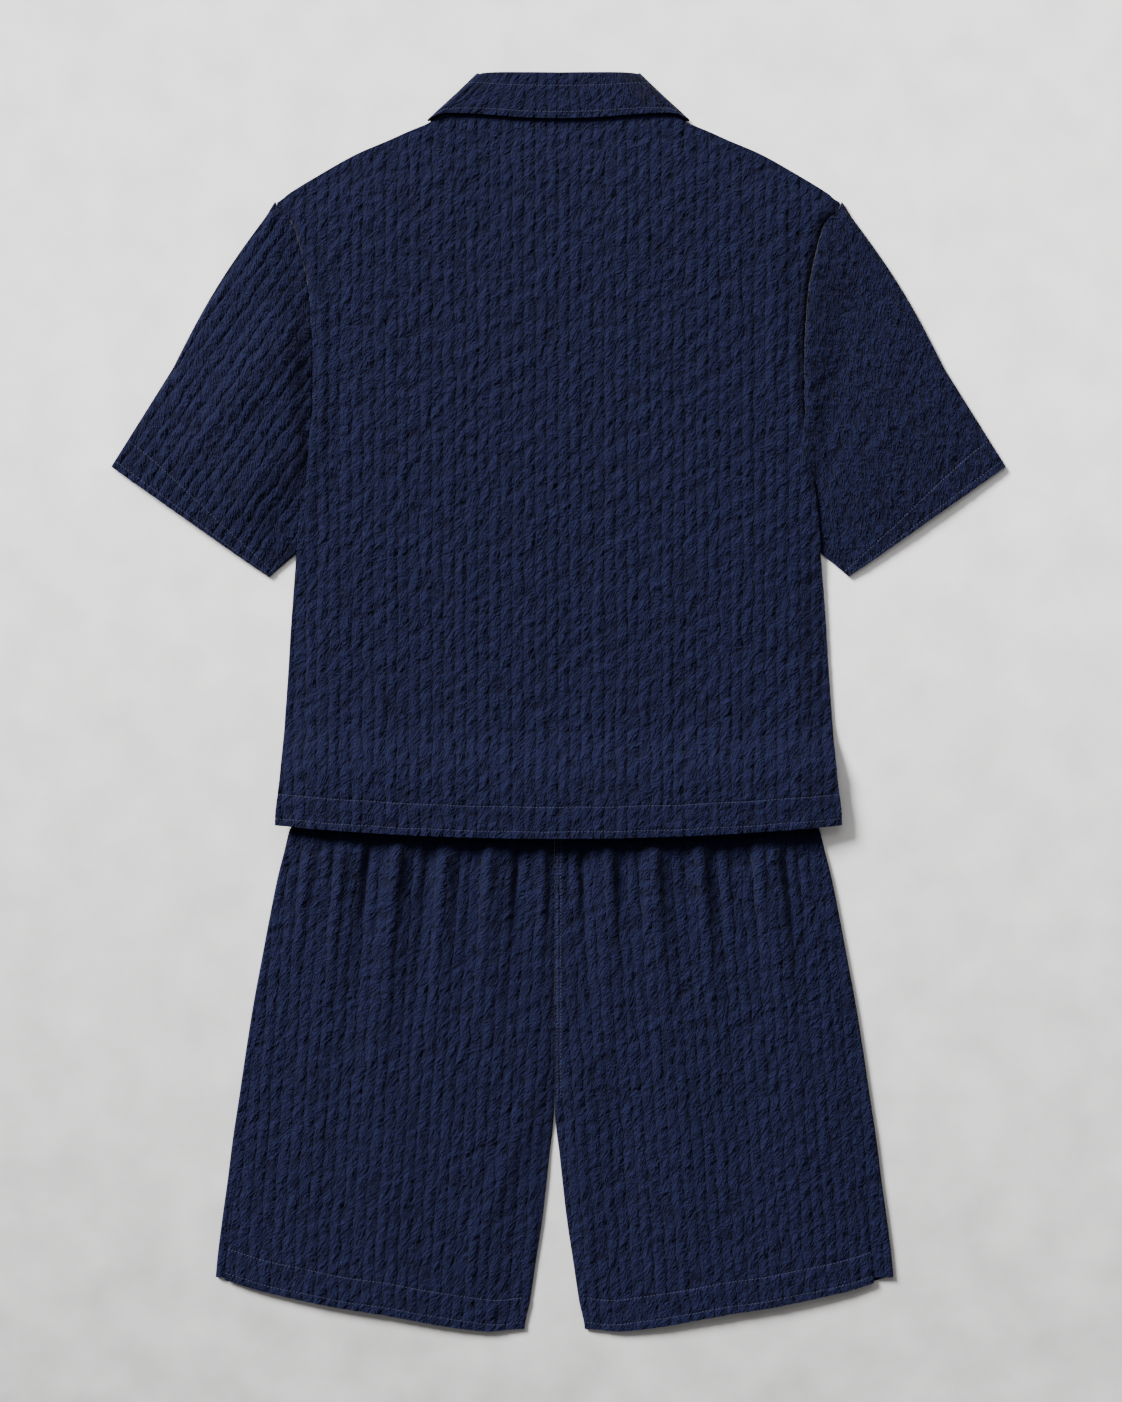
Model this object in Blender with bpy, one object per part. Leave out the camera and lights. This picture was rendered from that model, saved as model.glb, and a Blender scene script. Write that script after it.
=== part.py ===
"""Short-sleeved camp-collar shirt and shorts in seersucker, laid flat with the back uppermost.

Sizes are in millimetres and are turned to metres when a mesh is filled. X runs to the
right sleeve, Y runs to the collar and Z runs up from the surface that the set lies on.
"""
import math
from bisect import bisect_right

import bmesh
import bpy
from mathutils import Vector

MM = 0.001
NORMAL_STEP = 0.02
SMOOTH_ANGLE = math.radians(40.0)
BUTTON_SMOOTH_ANGLE = math.radians(50.0)

# Cloth and seams
WALL = 1.5
LAYER_GAP = 0.3
FIRST_LAYER = WALL + LAYER_GAP
RIB_PITCH = 16.5
RIB_HEIGHT = 0.7
HEM_DEPTH = 31.0
HEM_RAISE = 0.7
STITCH_GROOVE = 3.0
GROOVE_RELIEF = 0.1

# Shirt body
BODY_ROWS = (-123.5, -95.5, -92.5, -89.5, -72.0, -45.0, -20.0, 30.0, 85.0, 126.0, 152.0,
             172.0, 210.0, 255.0, 300.0, 340.0, 380.0, 405.0, 430.0, 449.0, 467.0, 484.0, 500.0)
SHIRT_HEM_SIDE = -123.5
SHIRT_HEM_DROP = 13.0
SHIRT_HALF_HEM = 283.0
HEM_STRETCH = 160.0
SHOULDER_POINT = 500.0
SHOULDER_STRETCH_START = 290.0
BACK_CROWN = 5.2
CROWN_REACH = 42.0
EDGE_RISE_REACH = 90.0
TOP_RISE_REACH = 60.0
HEM_LIFT = 8.9
HEM_LIFT_START = -18.0
HEM_LIFT_END = -72.0
NECK_HALF = 114.0
NECK_TOP = 588.0
NECK_HEIGHT = 1.95
NECK_LIFT_FULL = 172.0
NECK_LIFT_END = 225.0
UNDER_FALL = 14.0
FRONT_NECK_DEPTH = 470.0
FRONT_NECK_CURVE = 0.9
FRONT_COLUMNS = 9
FRONT_COLUMN_SPREAD = 1.5
FRONT_HEM_RISE = 3.0

# Front opening
PLACKET_HALF = 12.5
LEFT_PLACKET_LIFT = 2.8
RIGHT_PLACKET_LIFT = 4.75
PLACKET_FULL = 24.0
PLACKET_FADE = 62.0
BUTTON_RADIUS = 5.75
BUTTON_THICKNESS = 2.5
BUTTON_HOLE_RADIUS = 0.8
BUTTON_HOLE_OFFSET = 1.95
BUTTON_BEVEL = 0.5
BUTTON_TOP = 440.0
BUTTON_STEP = 100.0
BUTTON_COUNT = 5
COLLAR_LEAF_LIFT = 1.9
LEAF_OUTER_FADE = (178.0, 142.0)
LEAF_LOWER_FADE = (345.0, 385.0)

# Sleeves
SLEEVE_GAP = 1.3
CUFF_OUTER = (449.2, 236.3)
CUFF_INNER = {-1.0: (290.5, 124.5), 1.0: (291.6, 125.1)}
SLEEVE_LENGTH = 312.0
SLEEVE_OUTWARD = (0.82, 0.57)
HEAD_FADE = 0.06
SLEEVE_ROWS = (0.0, 20.0, 55.0, 95.0, 140.0, 190.0, 240.0, 277.5, 281.0, 284.5, 306.0, 312.0)
SLEEVE_UPPER = 24
SLEEVE_COLUMNS = 2 * SLEEVE_UPPER
UNDERARM_TUCK = 0.9
SHOULDER_BULGE = 6.0
FOLD_HEIGHT = 2.3
FOLD_DROP = 0.4
SLEEVE_LOFT_ARMHOLE = 1.9
SLEEVE_LOFT_MIDDLE = 3.6
SLEEVE_LOFT_CUFF = 3.2

# Collar
COLLAR_WALL = 1.3
FOLD_RADIUS = 1.4
STAND_TURN = (-0.69, -0.72)
COLLAR_STEPS = 2
COLLAR_PARTS = (0.0, 0.5, 1.0, 2.0, 3.0, 3.35, 3.7, 4.0)

# Shorts
SHORTS_CENTRE = -4.0
SHORTS_TOP = -120.6
SHORTS_ROWS = (-120.6, -150.0, -185.0, -225.0, -270.0, -320.0, -370.0, -396.0, -416.0, -438.5,
               -480.0, -525.0, -542.5, -545.5, -548.5, -570.5, -576.5)
SHORTS_HEM_SIDE = -576.5
HEM_SLOPE_START = -330.0
SIDE_TURN = 1.2
SIDE_SEAM_GAP = 0.9
SIDE_WRAP = {"left": 6.0, "right": 17.0}
BACK_CROTCH = -396.0
INSEAM_LEVEL = -436.0
CENTRE_SEAM_HEIGHT = 4.8
CENTRE_SEAM_FADE = 40.0
FRONT_CROTCH_DROP = 12.0
FRONT_CROTCH_FADE = (-500.0, -440.0)
BACK_LEG_COLUMNS = 38
LEG_FLAT = 5
LEG_TURN = 4
GATHER_SPREAD = 0.16
GATHER_SPREAD_LENGTH = 250.0
GATHER_TOP_FADE = (-112.0, -150.0)

# Waistband
WAIST_TOP = -80.0
WAIST_BOTTOM = -120.0
WAIST_HALF = 249.0
WAIST_WALL = 2.2
WAIST_WAVES = 14
WAIST_UPPER = 2 * WAIST_WAVES
WAIST_WAVE_HEIGHT = 0.6
WAIST_EDGE = 0.7
WAIST_LOFT = 1.5


def table(columns, *rows):
    """A short table as a dictionary that holds a tuple for each named column."""
    return dict(zip(columns.split(), zip(*rows)))


# Half widths of the body, from hem to shoulder. The back spreads over the sleeves below the
# armhole, the front keeps inside them. back_rise is how far its edge lies above the front.
BODY = table("y back_half front_half back_rise",
             (-123.5, 283.0, 283.0, 0.0),
             (-72.0, 278.0, 278.0, 0.0),
             (21.0, 271.0, 271.0, 0.0),
             (85.0, 267.0, 267.0, 0.2),
             (126.0, 264.0, 263.5, 1.6),
             (152.0, 262.0, 253.5, 3.9),
             (172.0, 261.0, 235.8, 4.6),
             (210.0, 257.0, 238.0, 4.9),
             (250.0, 252.0, 242.0, 5.0),
             (300.0, 246.0, 246.0, 4.9),
             (340.0, 246.0, 246.0, 2.6),
             (365.0, 247.0, 247.0, 2.1),
             (400.0, 250.0, 250.0, 1.9),
             (430.0, 256.0, 256.0, 1.6),
             (467.0, 266.0, 266.0, 1.1),
             (500.0, 282.0, 282.0, 0.0))

# Shoulder line from the neck out to the sleeve head.
SHOULDER = table("x y",
                 (114.0, 588.0), (127.0, 580.5), (150.0, 571.0), (170.0, 562.0), (205.0, 547.0),
                 (244.0, 525.0), (270.0, 509.0), (282.0, 500.0))

# Height of the armhole seam, as a share of the way from the shoulder point to the underarm.
ARMHOLE = table("share y",
                (0.0, 500.0), (0.11, 467.0), (0.22, 430.0), (0.31, 400.0), (0.42, 365.0),
                (0.5, 340.0), (0.62, 300.0), (0.77, 250.0), (0.89, 210.0), (1.0, 170.0))

# Sections of the collar from the centre back, round the side of the neck, to the front end.
# inset moves the stand in from the fall where both turn over the side of the neck.
COLLAR = table("seam_x seam_y fold_x fold_y edge_x edge_y stand_z fall_z inset",
               (0.0, 588.7, 0.0, 628.9, 0.0, 583.5, 5.1, 5.7, 0.0),
               (36.0, 588.7, 30.0, 629.2, 37.0, 584.5, 5.1, 5.7, 0.0),
               (74.0, 588.7, 58.0, 629.1, 82.0, 588.0, 5.1, 5.7, 0.0),
               (103.0, 589.5, 73.0, 628.3, 112.0, 588.8, 5.1, 5.8, 0.0),
               (114.0, 591.5, 79.5, 627.3, 128.0, 583.0, 4.9, 5.8, 0.3),
               (117.0, 592.5, 81.3, 627.6, 130.5, 581.2, 3.5, 3.5, 1.2),
               (114.0, 591.5, 79.0, 626.8, 128.0, 582.0, 2.0, 1.3, 0.3),
               (96.0, 574.0, 66.0, 604.0, 125.0, 552.0, 1.95, 1.3, 0.0),
               (76.0, 551.0, 50.0, 575.0, 118.0, 518.0, 1.95, 1.3, 0.0),
               (50.0, 522.5, 34.0, 538.0, 109.0, 478.0, 1.95, 1.3, 0.0),
               (31.0, 500.0, 22.0, 507.0, 98.0, 440.0, 1.95, 1.3, 0.0))

# Half widths of the shorts from their centre line; inner is the centre seam, then the inseam.
LEGS = table("y outer inner loft",
             (-120.6, 261.0, 0.5, 0.8), (-128.5, 265.5, 0.5, 1.0), (-148.5, 270.5, 0.5, 1.8),
             (-178.5, 278.0, 0.5, 2.6), (-218.5, 286.0, 0.5, 3.2), (-258.5, 293.5, 0.5, 3.4),
             (-298.5, 301.0, 0.5, 3.4), (-338.5, 307.5, 0.5, 3.6), (-378.5, 313.5, 0.5, 4.0),
             (-396.0, 316.0, 0.5, 4.2), (-418.5, 319.5, 2.0, 4.6), (-438.5, 322.5, 4.5, 5.0),
             (-478.5, 327.5, 8.0, 5.0), (-518.5, 333.0, 12.5, 4.6), (-558.5, 338.0, 18.5, 4.2),
             (-598.5, 341.0, 24.5, 4.0), (-631.0, 342.0, 30.5, 4.0))

SHORTS_HEM = table("x y",
                   (30.0, -628.5), (54.5, -630.5), (94.5, -626.5), (134.5, -619.5),
                   (174.5, -612.5), (214.5, -606.5), (254.5, -598.5), (294.5, -589.5),
                   (314.5, -583.5), (334.5, -577.5), (342.0, -576.5))

# Gathers below the waistband: place along the waist, height over the cloth, half width and length.
GATHERS = table("x height width length",
                (-237.0, 1.2, 14.0, 190.0), (-204.0, 1.9, 15.0, 260.0),
                (-179.5, -1.4, 12.0, 230.0), (-154.5, 2.2, 13.0, 330.0),
                (-124.5, -1.6, 12.0, 250.0), (-104.5, 1.6, 12.0, 210.0),
                (-84.5, -1.5, 11.0, 270.0), (-59.5, 1.7, 13.0, 230.0),
                (-34.5, -1.3, 11.0, 240.0), (-13.0, 1.1, 11.0, 200.0),
                (30.5, -1.4, 11.0, 220.0), (48.0, 1.6, 12.0, 260.0),
                (72.0, -0.9, 11.0, 170.0), (96.0, 2.0, 14.0, 310.0),
                (123.0, -1.0, 12.0, 200.0), (140.5, 1.5, 12.0, 230.0),
                (157.5, -1.4, 11.0, 260.0), (183.0, -1.3, 11.0, 230.0),
                (207.0, 1.9, 14.0, 280.0), (233.0, -1.1, 12.0, 210.0),
                (247.0, 1.0, 10.0, 180.0))

FINISHES = {
    "navy_seersucker": ((0.0131, 0.0178, 0.0423), 0.85),
    "waist_elastic": ((0.0110, 0.0145, 0.0340), 0.9),
    "navy_button": ((0.0080, 0.0100, 0.0220), 0.35),
}


def read(rows, key, value, at):
    """The value of a named column at a place along the key column, on a smooth curve."""
    keys, values = rows[key], rows[value]
    if keys[0] > keys[-1]:
        keys, values = keys[::-1], values[::-1]
    if at <= keys[0]:
        return values[0]
    if at >= keys[-1]:
        return values[-1]
    here = bisect_right(keys, at) - 1
    width = keys[here + 1] - keys[here]

    def slope(index):
        low, high = max(index - 1, 0), min(index + 1, len(keys) - 1)
        turns = (values[high] - values[index]) * (values[index] - values[low]) <= 0.0
        return 0.0 if turns else (values[high] - values[low]) / (keys[high] - keys[low])

    t = (at - keys[here]) / width
    start, end = slope(here) * width, slope(here + 1) * width
    return ((2 * t ** 3 - 3 * t ** 2 + 1) * values[here] + (t ** 3 - 2 * t ** 2 + t) * start
            + (3 * t ** 2 - 2 * t ** 3) * values[here + 1] + (t ** 3 - t ** 2) * end)


def ease(value, low, high):
    """A smooth step from 0 at low to 1 at high, in either direction."""
    t = min(max((value - low) / (high - low), 0.0), 1.0)
    return t * t * (3.0 - 2.0 * t)


def arch(share, power=0.6):
    """A rounded arch over a share from 0 to 1."""
    return max(math.sin(math.pi * min(max(share, 0.0), 1.0)), 0.0) ** power


def uneven(column, row):
    """A repeatable number from 0 to 1 that differs for each column and row."""
    return math.fmod(abs(math.sin(column * 12.9898 + row * 78.233) * 43758.5453), 1.0)


def row_at(rows, v):
    """The row table's value at a share v of its length."""
    place = v * (len(rows) - 1)
    low = min(int(place), len(rows) - 2)
    return rows[low] + (rows[low + 1] - rows[low]) * (place - low)


def rib(column, row):
    """Height of the puckered channels, one ridge for every second column."""
    return RIB_HEIGHT * (0.55 + 0.45 * uneven(column, row)) if column % 2 else 0.0


def hem_relief(distance, column, row):
    """Height over the plain wall near a hem: a turned band, its stitch groove, then ribs."""
    if distance > HEM_DEPTH + 0.5 * STITCH_GROOVE:
        return rib(column, row)
    if distance > HEM_DEPTH - 0.5 * STITCH_GROOVE:
        return GROOVE_RELIEF
    return HEM_RAISE


def material(name):
    """The Principled material of a finish, made once."""
    found = bpy.data.materials.get(name)
    if found:
        return found
    colour, roughness = FINISHES[name]
    made = bpy.data.materials.new(name)
    made.use_nodes = True
    shader = made.node_tree.nodes["Principled BSDF"]
    shader.inputs["Base Color"].default_value = (*colour, 1.0)
    shader.inputs["Roughness"].default_value = roughness
    shader.inputs["Metallic"].default_value = 0.0
    made.diffuse_color = (*colour, 1.0)
    return made


def add_object(name, mesh, finish, set_parent, collection):
    """Links a mesh as a named piece of the set."""
    mesh.materials.append(material(finish))
    piece = bpy.data.objects.new(name, mesh)
    piece.parent = set_parent
    collection.objects.link(piece)
    return piece


def cloth_wall(name, columns, rows, place, thickness=WALL, relief=None, ring=False, spare=4,
               side=1.0):
    """A wall of cloth over a grid.

    place gives a point of the inner side for shares u and v. The outer side lies a thickness
    away from it along the surface's own normal, plus the relief at that column and row. side
    is -1 where the grid's normal points inwards. On the inner side only every spare-th column
    keeps its edges.
    """
    grid = bmesh.new()
    bmesh.ops.create_grid(grid, x_segments=columns, y_segments=rows, size=0.5)
    column_of = grid.verts.layers.int.new("column")
    row_of = grid.verts.layers.int.new("row")
    at = {}
    for vert in grid.verts:
        vert[column_of] = round((vert.co.x + 0.5) * columns)
        vert[row_of] = round((vert.co.y + 0.5) * rows)
        at[vert[column_of], vert[row_of]] = vert
    if ring:
        pairs = {at[columns, row]: at[0, row] for row in range(rows + 1)}
        bmesh.ops.weld_verts(grid, targetmap=pairs)

    def normal(u, v):
        step_u, step_v = NORMAL_STEP / columns, NORMAL_STEP / rows
        low_u, high_u = u - step_u, u + step_u
        if not ring:
            low_u, high_u = max(low_u, 0.0), min(high_u, 1.0)
        low_v, high_v = max(v - step_v, 0.0), min(v + step_v, 1.0)
        across = Vector(place(high_u, v)) - Vector(place(low_u, v))
        along = Vector(place(u, high_v)) - Vector(place(u, low_v))
        return across.cross(along).normalized() * side

    inner = set(grid.verts)
    made = bmesh.ops.extrude_face_region(grid, geom=list(grid.faces), use_keep_orig=True)
    outer = {item for item in made["geom"] if isinstance(item, bmesh.types.BMVert)}
    for vert in grid.verts:
        column, row = vert[column_of], vert[row_of]
        u, v = column / columns, row / rows
        point = Vector(place(u, v))
        if vert in outer:
            raised = relief(u, v, column, row) if relief else 0.0
            point += normal(u, v) * (thickness + raised)
        vert.co = point * MM

    surplus = [edge for edge in grid.edges
               if edge.verts[0] in inner and edge.verts[1] in inner
               and edge.verts[0][column_of] == edge.verts[1][column_of]
               and edge.verts[0][column_of] % spare
               and edge.verts[0][column_of] != columns]
    if surplus and spare > 1:
        bmesh.ops.dissolve_edges(grid, edges=surplus, use_verts=True)
    bmesh.ops.recalc_face_normals(grid, faces=list(grid.faces))
    if grid.calc_volume(signed=True) < 0.0:
        bmesh.ops.reverse_faces(grid, faces=list(grid.faces))
    mesh = bpy.data.meshes.new(name)
    grid.to_mesh(mesh)
    grid.free()
    mesh.shade_smooth()
    mesh.set_sharp_from_angle(angle=SMOOTH_ANGLE)
    return mesh


def shirt_hem(x):
    """Y of the shirt's hem, lowest at the centre."""
    return SHIRT_HEM_SIDE - SHIRT_HEM_DROP * (1.0 - (x / SHIRT_HALF_HEM) ** 2)


def hem_lift(y):
    """How far the shirt rises where its hem lies over the waist of the shorts."""
    return HEM_LIFT * ease(y, HEM_LIFT_START, HEM_LIFT_END)


def body_y(row_y, x, top):
    """Y of a body row at x, stretched towards the hem line and the top line."""
    reach = ease(row_y, SHOULDER_STRETCH_START, SHOULDER_POINT)
    to_hem = 1.0 - min(max((row_y - SHIRT_HEM_SIDE) / HEM_STRETCH, 0.0), 1.0)
    return row_y + (top - SHOULDER_POINT) * reach + (shirt_hem(x) - SHIRT_HEM_SIDE) * to_hem


def back_top(x):
    """Y of the back's upper line: straight across the neck, then down the shoulders."""
    return NECK_TOP if abs(x) < NECK_HALF else read(SHOULDER, "x", "y", abs(x))


def front_top(x):
    """Y of a front's upper line: the shoulder, then the open neckline."""
    reach = abs(x)
    if reach >= NECK_HALF:
        return read(SHOULDER, "x", "y", reach)
    share = max(reach - PLACKET_HALF, 0.0) / (NECK_HALF - PLACKET_HALF)
    return FRONT_NECK_DEPTH + (NECK_TOP - FRONT_NECK_DEPTH) * share ** FRONT_NECK_CURVE


def back_place(u, v):
    """The underside of the shirt's back."""
    row_y = row_at(BODY_ROWS, v)
    half = read(BODY, "y", "back_half", row_y)
    across = 2.0 * u - 1.0
    x = across * half
    y = body_y(row_y, x, back_top(x))
    from_edge = half - abs(x)
    from_top = back_top(x) - y
    edge = read(BODY, "y", "back_rise", row_y)
    neck = NECK_HEIGHT * ease(abs(x), NECK_LIFT_END, NECK_LIFT_FULL)
    neck *= ease(from_top, TOP_RISE_REACH, 0.0)
    rise = ease(from_edge, -4.0, CROWN_REACH) * ease(from_top, -2.0, TOP_RISE_REACH)
    base = FIRST_LAYER + max(edge * ease(from_edge, EDGE_RISE_REACH, 0.0), neck)
    crown = FIRST_LAYER + BACK_CROWN
    return x, y, hem_lift(row_y) + base + max(crown - base, 0.0) * rise


def back_relief(u, v, column, row):
    """The back's ribs and its turned hem, plain under the fall of the collar."""
    x, y, _ = back_place(u, v)
    if back_top(x) - y < UNDER_FALL:
        return 0.0
    return hem_relief(y - shirt_hem(x), column, row)


def front_place(side, placket_lift):
    """The underside of one front; side is -1 for the wearer's left and 1 for the right."""
    def place(u, v):
        row_y = row_at(BODY_ROWS, v)
        half = read(BODY, "y", "front_half", row_y)
        centre_edge = -side * PLACKET_HALF
        x = centre_edge + side * (half + PLACKET_HALF) * u ** FRONT_COLUMN_SPREAD
        y = body_y(row_y, x, front_top(x))
        y += FRONT_HEM_RISE * ease(row_y, -60.0, SHIRT_HEM_SIDE)
        placket = placket_lift * ease(side * x, PLACKET_FADE, PLACKET_FULL)
        leaf = COLLAR_LEAF_LIFT * ease(abs(x), *LEAF_OUTER_FADE) * ease(y, *LEAF_LOWER_FADE)
        return x, y, hem_lift(row_y) + max(placket, leaf)
    return place


def sleeve_place(side):
    """The inner side of one sleeve, open at its underarm seam.

    u runs from the seam along the lower layer, round the outer fold and along the upper layer
    back to the seam. v runs from the armhole to the cuff.
    """
    def place(u, v):
        upper = u > 0.5
        turn = abs(2.0 * u - 1.0)
        share = 0.5 - 0.5 * math.cos(math.pi * turn)
        seam_y = read(ARMHOLE, "share", "y", share)
        seam_x = read(BODY, "y", "front_half", seam_y)
        head_x = seam_x + SLEEVE_GAP
        head_y = body_y(seam_y, seam_x, back_top(seam_x))
        cuff_x = CUFF_OUTER[0] + (CUFF_INNER[side][0] - CUFF_OUTER[0]) * share
        cuff_y = CUFF_OUTER[1] + (CUFF_INNER[side][1] - CUFF_OUTER[1]) * share
        along = row_at(SLEEVE_ROWS, v) / SLEEVE_LENGTH
        x = head_x + (cuff_x - head_x) * along
        y = head_y + (cuff_y - head_y) * along
        bulge = SHOULDER_BULGE * (1.0 - share) ** 3 * arch(min(along * 1.6, 1.0), 1.0)
        inset = WALL * (1.0 - 2.0 * share) * ease(along, 0.0, HEAD_FADE)
        x += (bulge - inset) * SLEEVE_OUTWARD[0] - UNDERARM_TUCK * ease(share, 0.8, 1.0) * along
        y += (bulge - inset) * SLEEVE_OUTWARD[1]
        if not upper:
            return side * x, y, WALL + (FOLD_HEIGHT - WALL) * ease(share, 0.03, 0.0)
        loft = (SLEEVE_LOFT_ARMHOLE
                + (SLEEVE_LOFT_MIDDLE - SLEEVE_LOFT_ARMHOLE) * ease(along, 0.05, 0.5)
                + (SLEEVE_LOFT_CUFF - SLEEVE_LOFT_MIDDLE) * ease(along, 0.6, 1.0))
        return side * x, y, FOLD_HEIGHT - FOLD_DROP * ease(share, 0.0, 0.1) + loft * arch(share)
    return place


def sleeve_relief(u, v, column, row):
    """Ribs along the sleeve and the cuff's band, on the upper layer only."""
    if column < SLEEVE_UPPER + 2 or column == SLEEVE_COLUMNS:
        return 0.0
    return hem_relief(SLEEVE_LENGTH - row_at(SLEEVE_ROWS, v), column, row)


def collar_point(station, part):
    """A point of the collar at a station of its table.

    part runs from 0 at the neck seam to 1 at the fold's inner side, 2 at the fold, 3 at the
    fold's outer side and 4 at the edge of the fall.
    """
    index = tuple(range(len(COLLAR["inset"])))
    rows = {"station": index, **COLLAR}
    value = {name: read(rows, "station", name, station) for name in COLLAR}
    seam = Vector((value["seam_x"], value["seam_y"]))
    fold = Vector((value["fold_x"], value["fold_y"]))
    edge = Vector((value["edge_x"], value["edge_y"]))
    inward = Vector(STAND_TURN) * value["inset"]
    down_stand = (seam - fold).normalized()
    down_fall = (edge - fold).normalized()
    middle = 0.5 * (value["stand_z"] + value["fall_z"])
    stops = ((seam + inward, value["stand_z"]),
             (fold + down_stand * FOLD_RADIUS + inward, value["stand_z"]),
             (fold + 0.5 * inward, middle),
             (fold + down_fall * FOLD_RADIUS, value["fall_z"]),
             (edge, value["fall_z"]))
    low = min(int(part), 3)
    blend = part - low
    (start, start_z), (end, end_z) = stops[low], stops[low + 1]
    flat = start + (end - start) * blend
    return flat.x, flat.y, start_z + (end_z - start_z) * blend


def collar_place(u, v):
    """The inner side of the collar, from the left front end round the back to the right."""
    stations = len(COLLAR["inset"]) - 1
    way = (2.0 * u - 1.0) * stations
    side = 1.0 if way >= 0.0 else -1.0
    x, y, z = collar_point(abs(way), row_at(COLLAR_PARTS, v))
    return side * x, y, z


def shorts_hem_y(row_y, reach):
    """Y of a row of the shorts, stretched towards the sloping hem."""
    to_hem = ease(row_y, HEM_SLOPE_START, SHORTS_HEM_SIDE + HEM_DEPTH)
    return row_y + (read(SHORTS_HEM, "x", "y", reach) - SHORTS_HEM_SIDE) * to_hem


def gather_height(x, y):
    """Height of the waist gathers, which spread and fade down the shorts."""
    total = 0.0
    for place, height, width, length in zip(*GATHERS.values()):
        down = (SHORTS_TOP - y) / length
        if down < 1.0:
            centre = place * (1.0 + GATHER_SPREAD * down * length / GATHER_SPREAD_LENGTH)
            total += height * math.exp(-((x - centre) / width) ** 2) * (1.0 - down) ** 1.1
    return total


def leg_edges(y, side_name):
    """Inner and outer reach of a back leg panel from the centre line at Y."""
    turned = SIDE_TURN + WALL + SIDE_WRAP[side_name] + SIDE_SEAM_GAP
    return read(LEGS, "y", "inner", y), read(LEGS, "y", "outer", y) - turned


def leg_back_place(side, side_name):
    """The underside of one back of the shorts, from the centre seam to the side seam."""
    def place(u, v):
        row_y = row_at(SHORTS_ROWS, v)
        inner, outer = leg_edges(row_y, side_name)
        y = shorts_hem_y(row_y, inner + (outer - inner) * u)
        inner, outer = leg_edges(y, side_name)
        reach = inner + (outer - inner) * u
        seam_height = WALL + 2.0 * SIDE_TURN
        inner_height = FIRST_LAYER + (CENTRE_SEAM_HEIGHT - FIRST_LAYER) * ease(
            y, INSEAM_LEVEL, BACK_CROTCH + CENTRE_SEAM_FADE)
        loft = read(LEGS, "y", "loft", y) * arch(u, 0.7)
        gathers = gather_height(side * reach, y)
        z = inner_height + (seam_height - inner_height) * u + loft
        folds = gathers * ease(u, 0.0, 0.05) * ease(u, 1.0, 0.95) * ease(y, *GATHER_TOP_FADE)
        return SHORTS_CENTRE + side * reach, y, z + folds
    return place


def leg_back_relief(side, side_name):
    """Ribs and the turned hem of one back of the shorts."""
    place = leg_back_place(side, side_name)

    def relief(u, v, column, row):
        x, y, _ = place(u, v)
        return hem_relief(y - read(SHORTS_HEM, "x", "y", abs(x - SHORTS_CENTRE)), column, row)
    return relief


def leg_front_place(side, side_name):
    """The inner side of one front of the shorts, turned over the side to its seam."""
    columns = LEG_FLAT + LEG_TURN + 1
    wrap = SIDE_WRAP[side_name]

    def place(u, v):
        row_y = row_at(SHORTS_ROWS, v)
        column = u * columns
        outer = read(LEGS, "y", "outer", row_y)
        inner = read(LEGS, "y", "inner", row_y + FRONT_CROTCH_DROP)
        share = min(column / LEG_FLAT, 1.0)
        y = shorts_hem_y(row_y, inner + (outer - inner) * share)
        outer = read(LEGS, "y", "outer", y)
        drop = FRONT_CROTCH_DROP * ease(y, *FRONT_CROTCH_FADE)
        inner = read(LEGS, "y", "inner", y + drop)
        centre = outer - WALL - SIDE_TURN
        if column <= LEG_FLAT:
            return SHORTS_CENTRE + side * (inner + (centre - inner) * share), y, WALL
        if column <= LEG_FLAT + LEG_TURN:
            angle = math.pi * (column - LEG_FLAT) / LEG_TURN
            reach = centre + SIDE_TURN * math.sin(angle)
            return SHORTS_CENTRE + side * reach, y, WALL + SIDE_TURN * (1.0 - math.cos(angle))
        back = wrap * (column - LEG_FLAT - LEG_TURN)
        return SHORTS_CENTRE + side * (centre - back), y, WALL + 2.0 * SIDE_TURN
    return place


def waist_place(u, v):
    """The inner side of the elastic waistband, a flattened ring."""
    u %= 1.0
    upper = u <= 0.5
    share = 2.0 * u if upper else 2.0 * (1.0 - u)
    x = SHORTS_CENTRE + (WAIST_HALF - WAIST_WALL) * (2.0 * share - 1.0)
    y = WAIST_BOTTOM + (WAIST_TOP - WAIST_BOTTOM) * v
    edge = WAIST_EDGE * (1.0 - arch(share, 0.35))
    if not upper:
        return x, y, WAIST_WALL + edge
    return x, y, WAIST_WALL + edge + WAIST_LOFT * arch(share)


def waist_relief(u, v, column, row):
    """Soft gathers across the upper layer of the waistband."""
    if column < 2 or column > WAIST_UPPER - 2:
        return 0.0
    return WAIST_WAVE_HEIGHT * (column % 2) * (0.6 + 0.4 * uneven(column, 1))


def button_mesh(name):
    """A plain four-hole button: a disc with a bevelled rim and holes cut through it."""
    disc = bmesh.new()
    bmesh.ops.create_cone(disc, cap_ends=True, segments=16, radius1=BUTTON_RADIUS * MM,
                          radius2=BUTTON_RADIUS * MM, depth=BUTTON_THICKNESS * MM)
    rims = [edge for edge in disc.edges if abs(edge.verts[0].co.z - edge.verts[1].co.z) < 1e-7]
    bmesh.ops.bevel(disc, geom=rims, offset=BUTTON_BEVEL * MM, segments=1, affect="EDGES")
    mesh = bpy.data.meshes.new(name)
    disc.to_mesh(mesh)
    disc.free()
    mesh.shade_smooth()
    mesh.set_sharp_from_angle(angle=BUTTON_SMOOTH_ANGLE)
    return mesh


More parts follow.
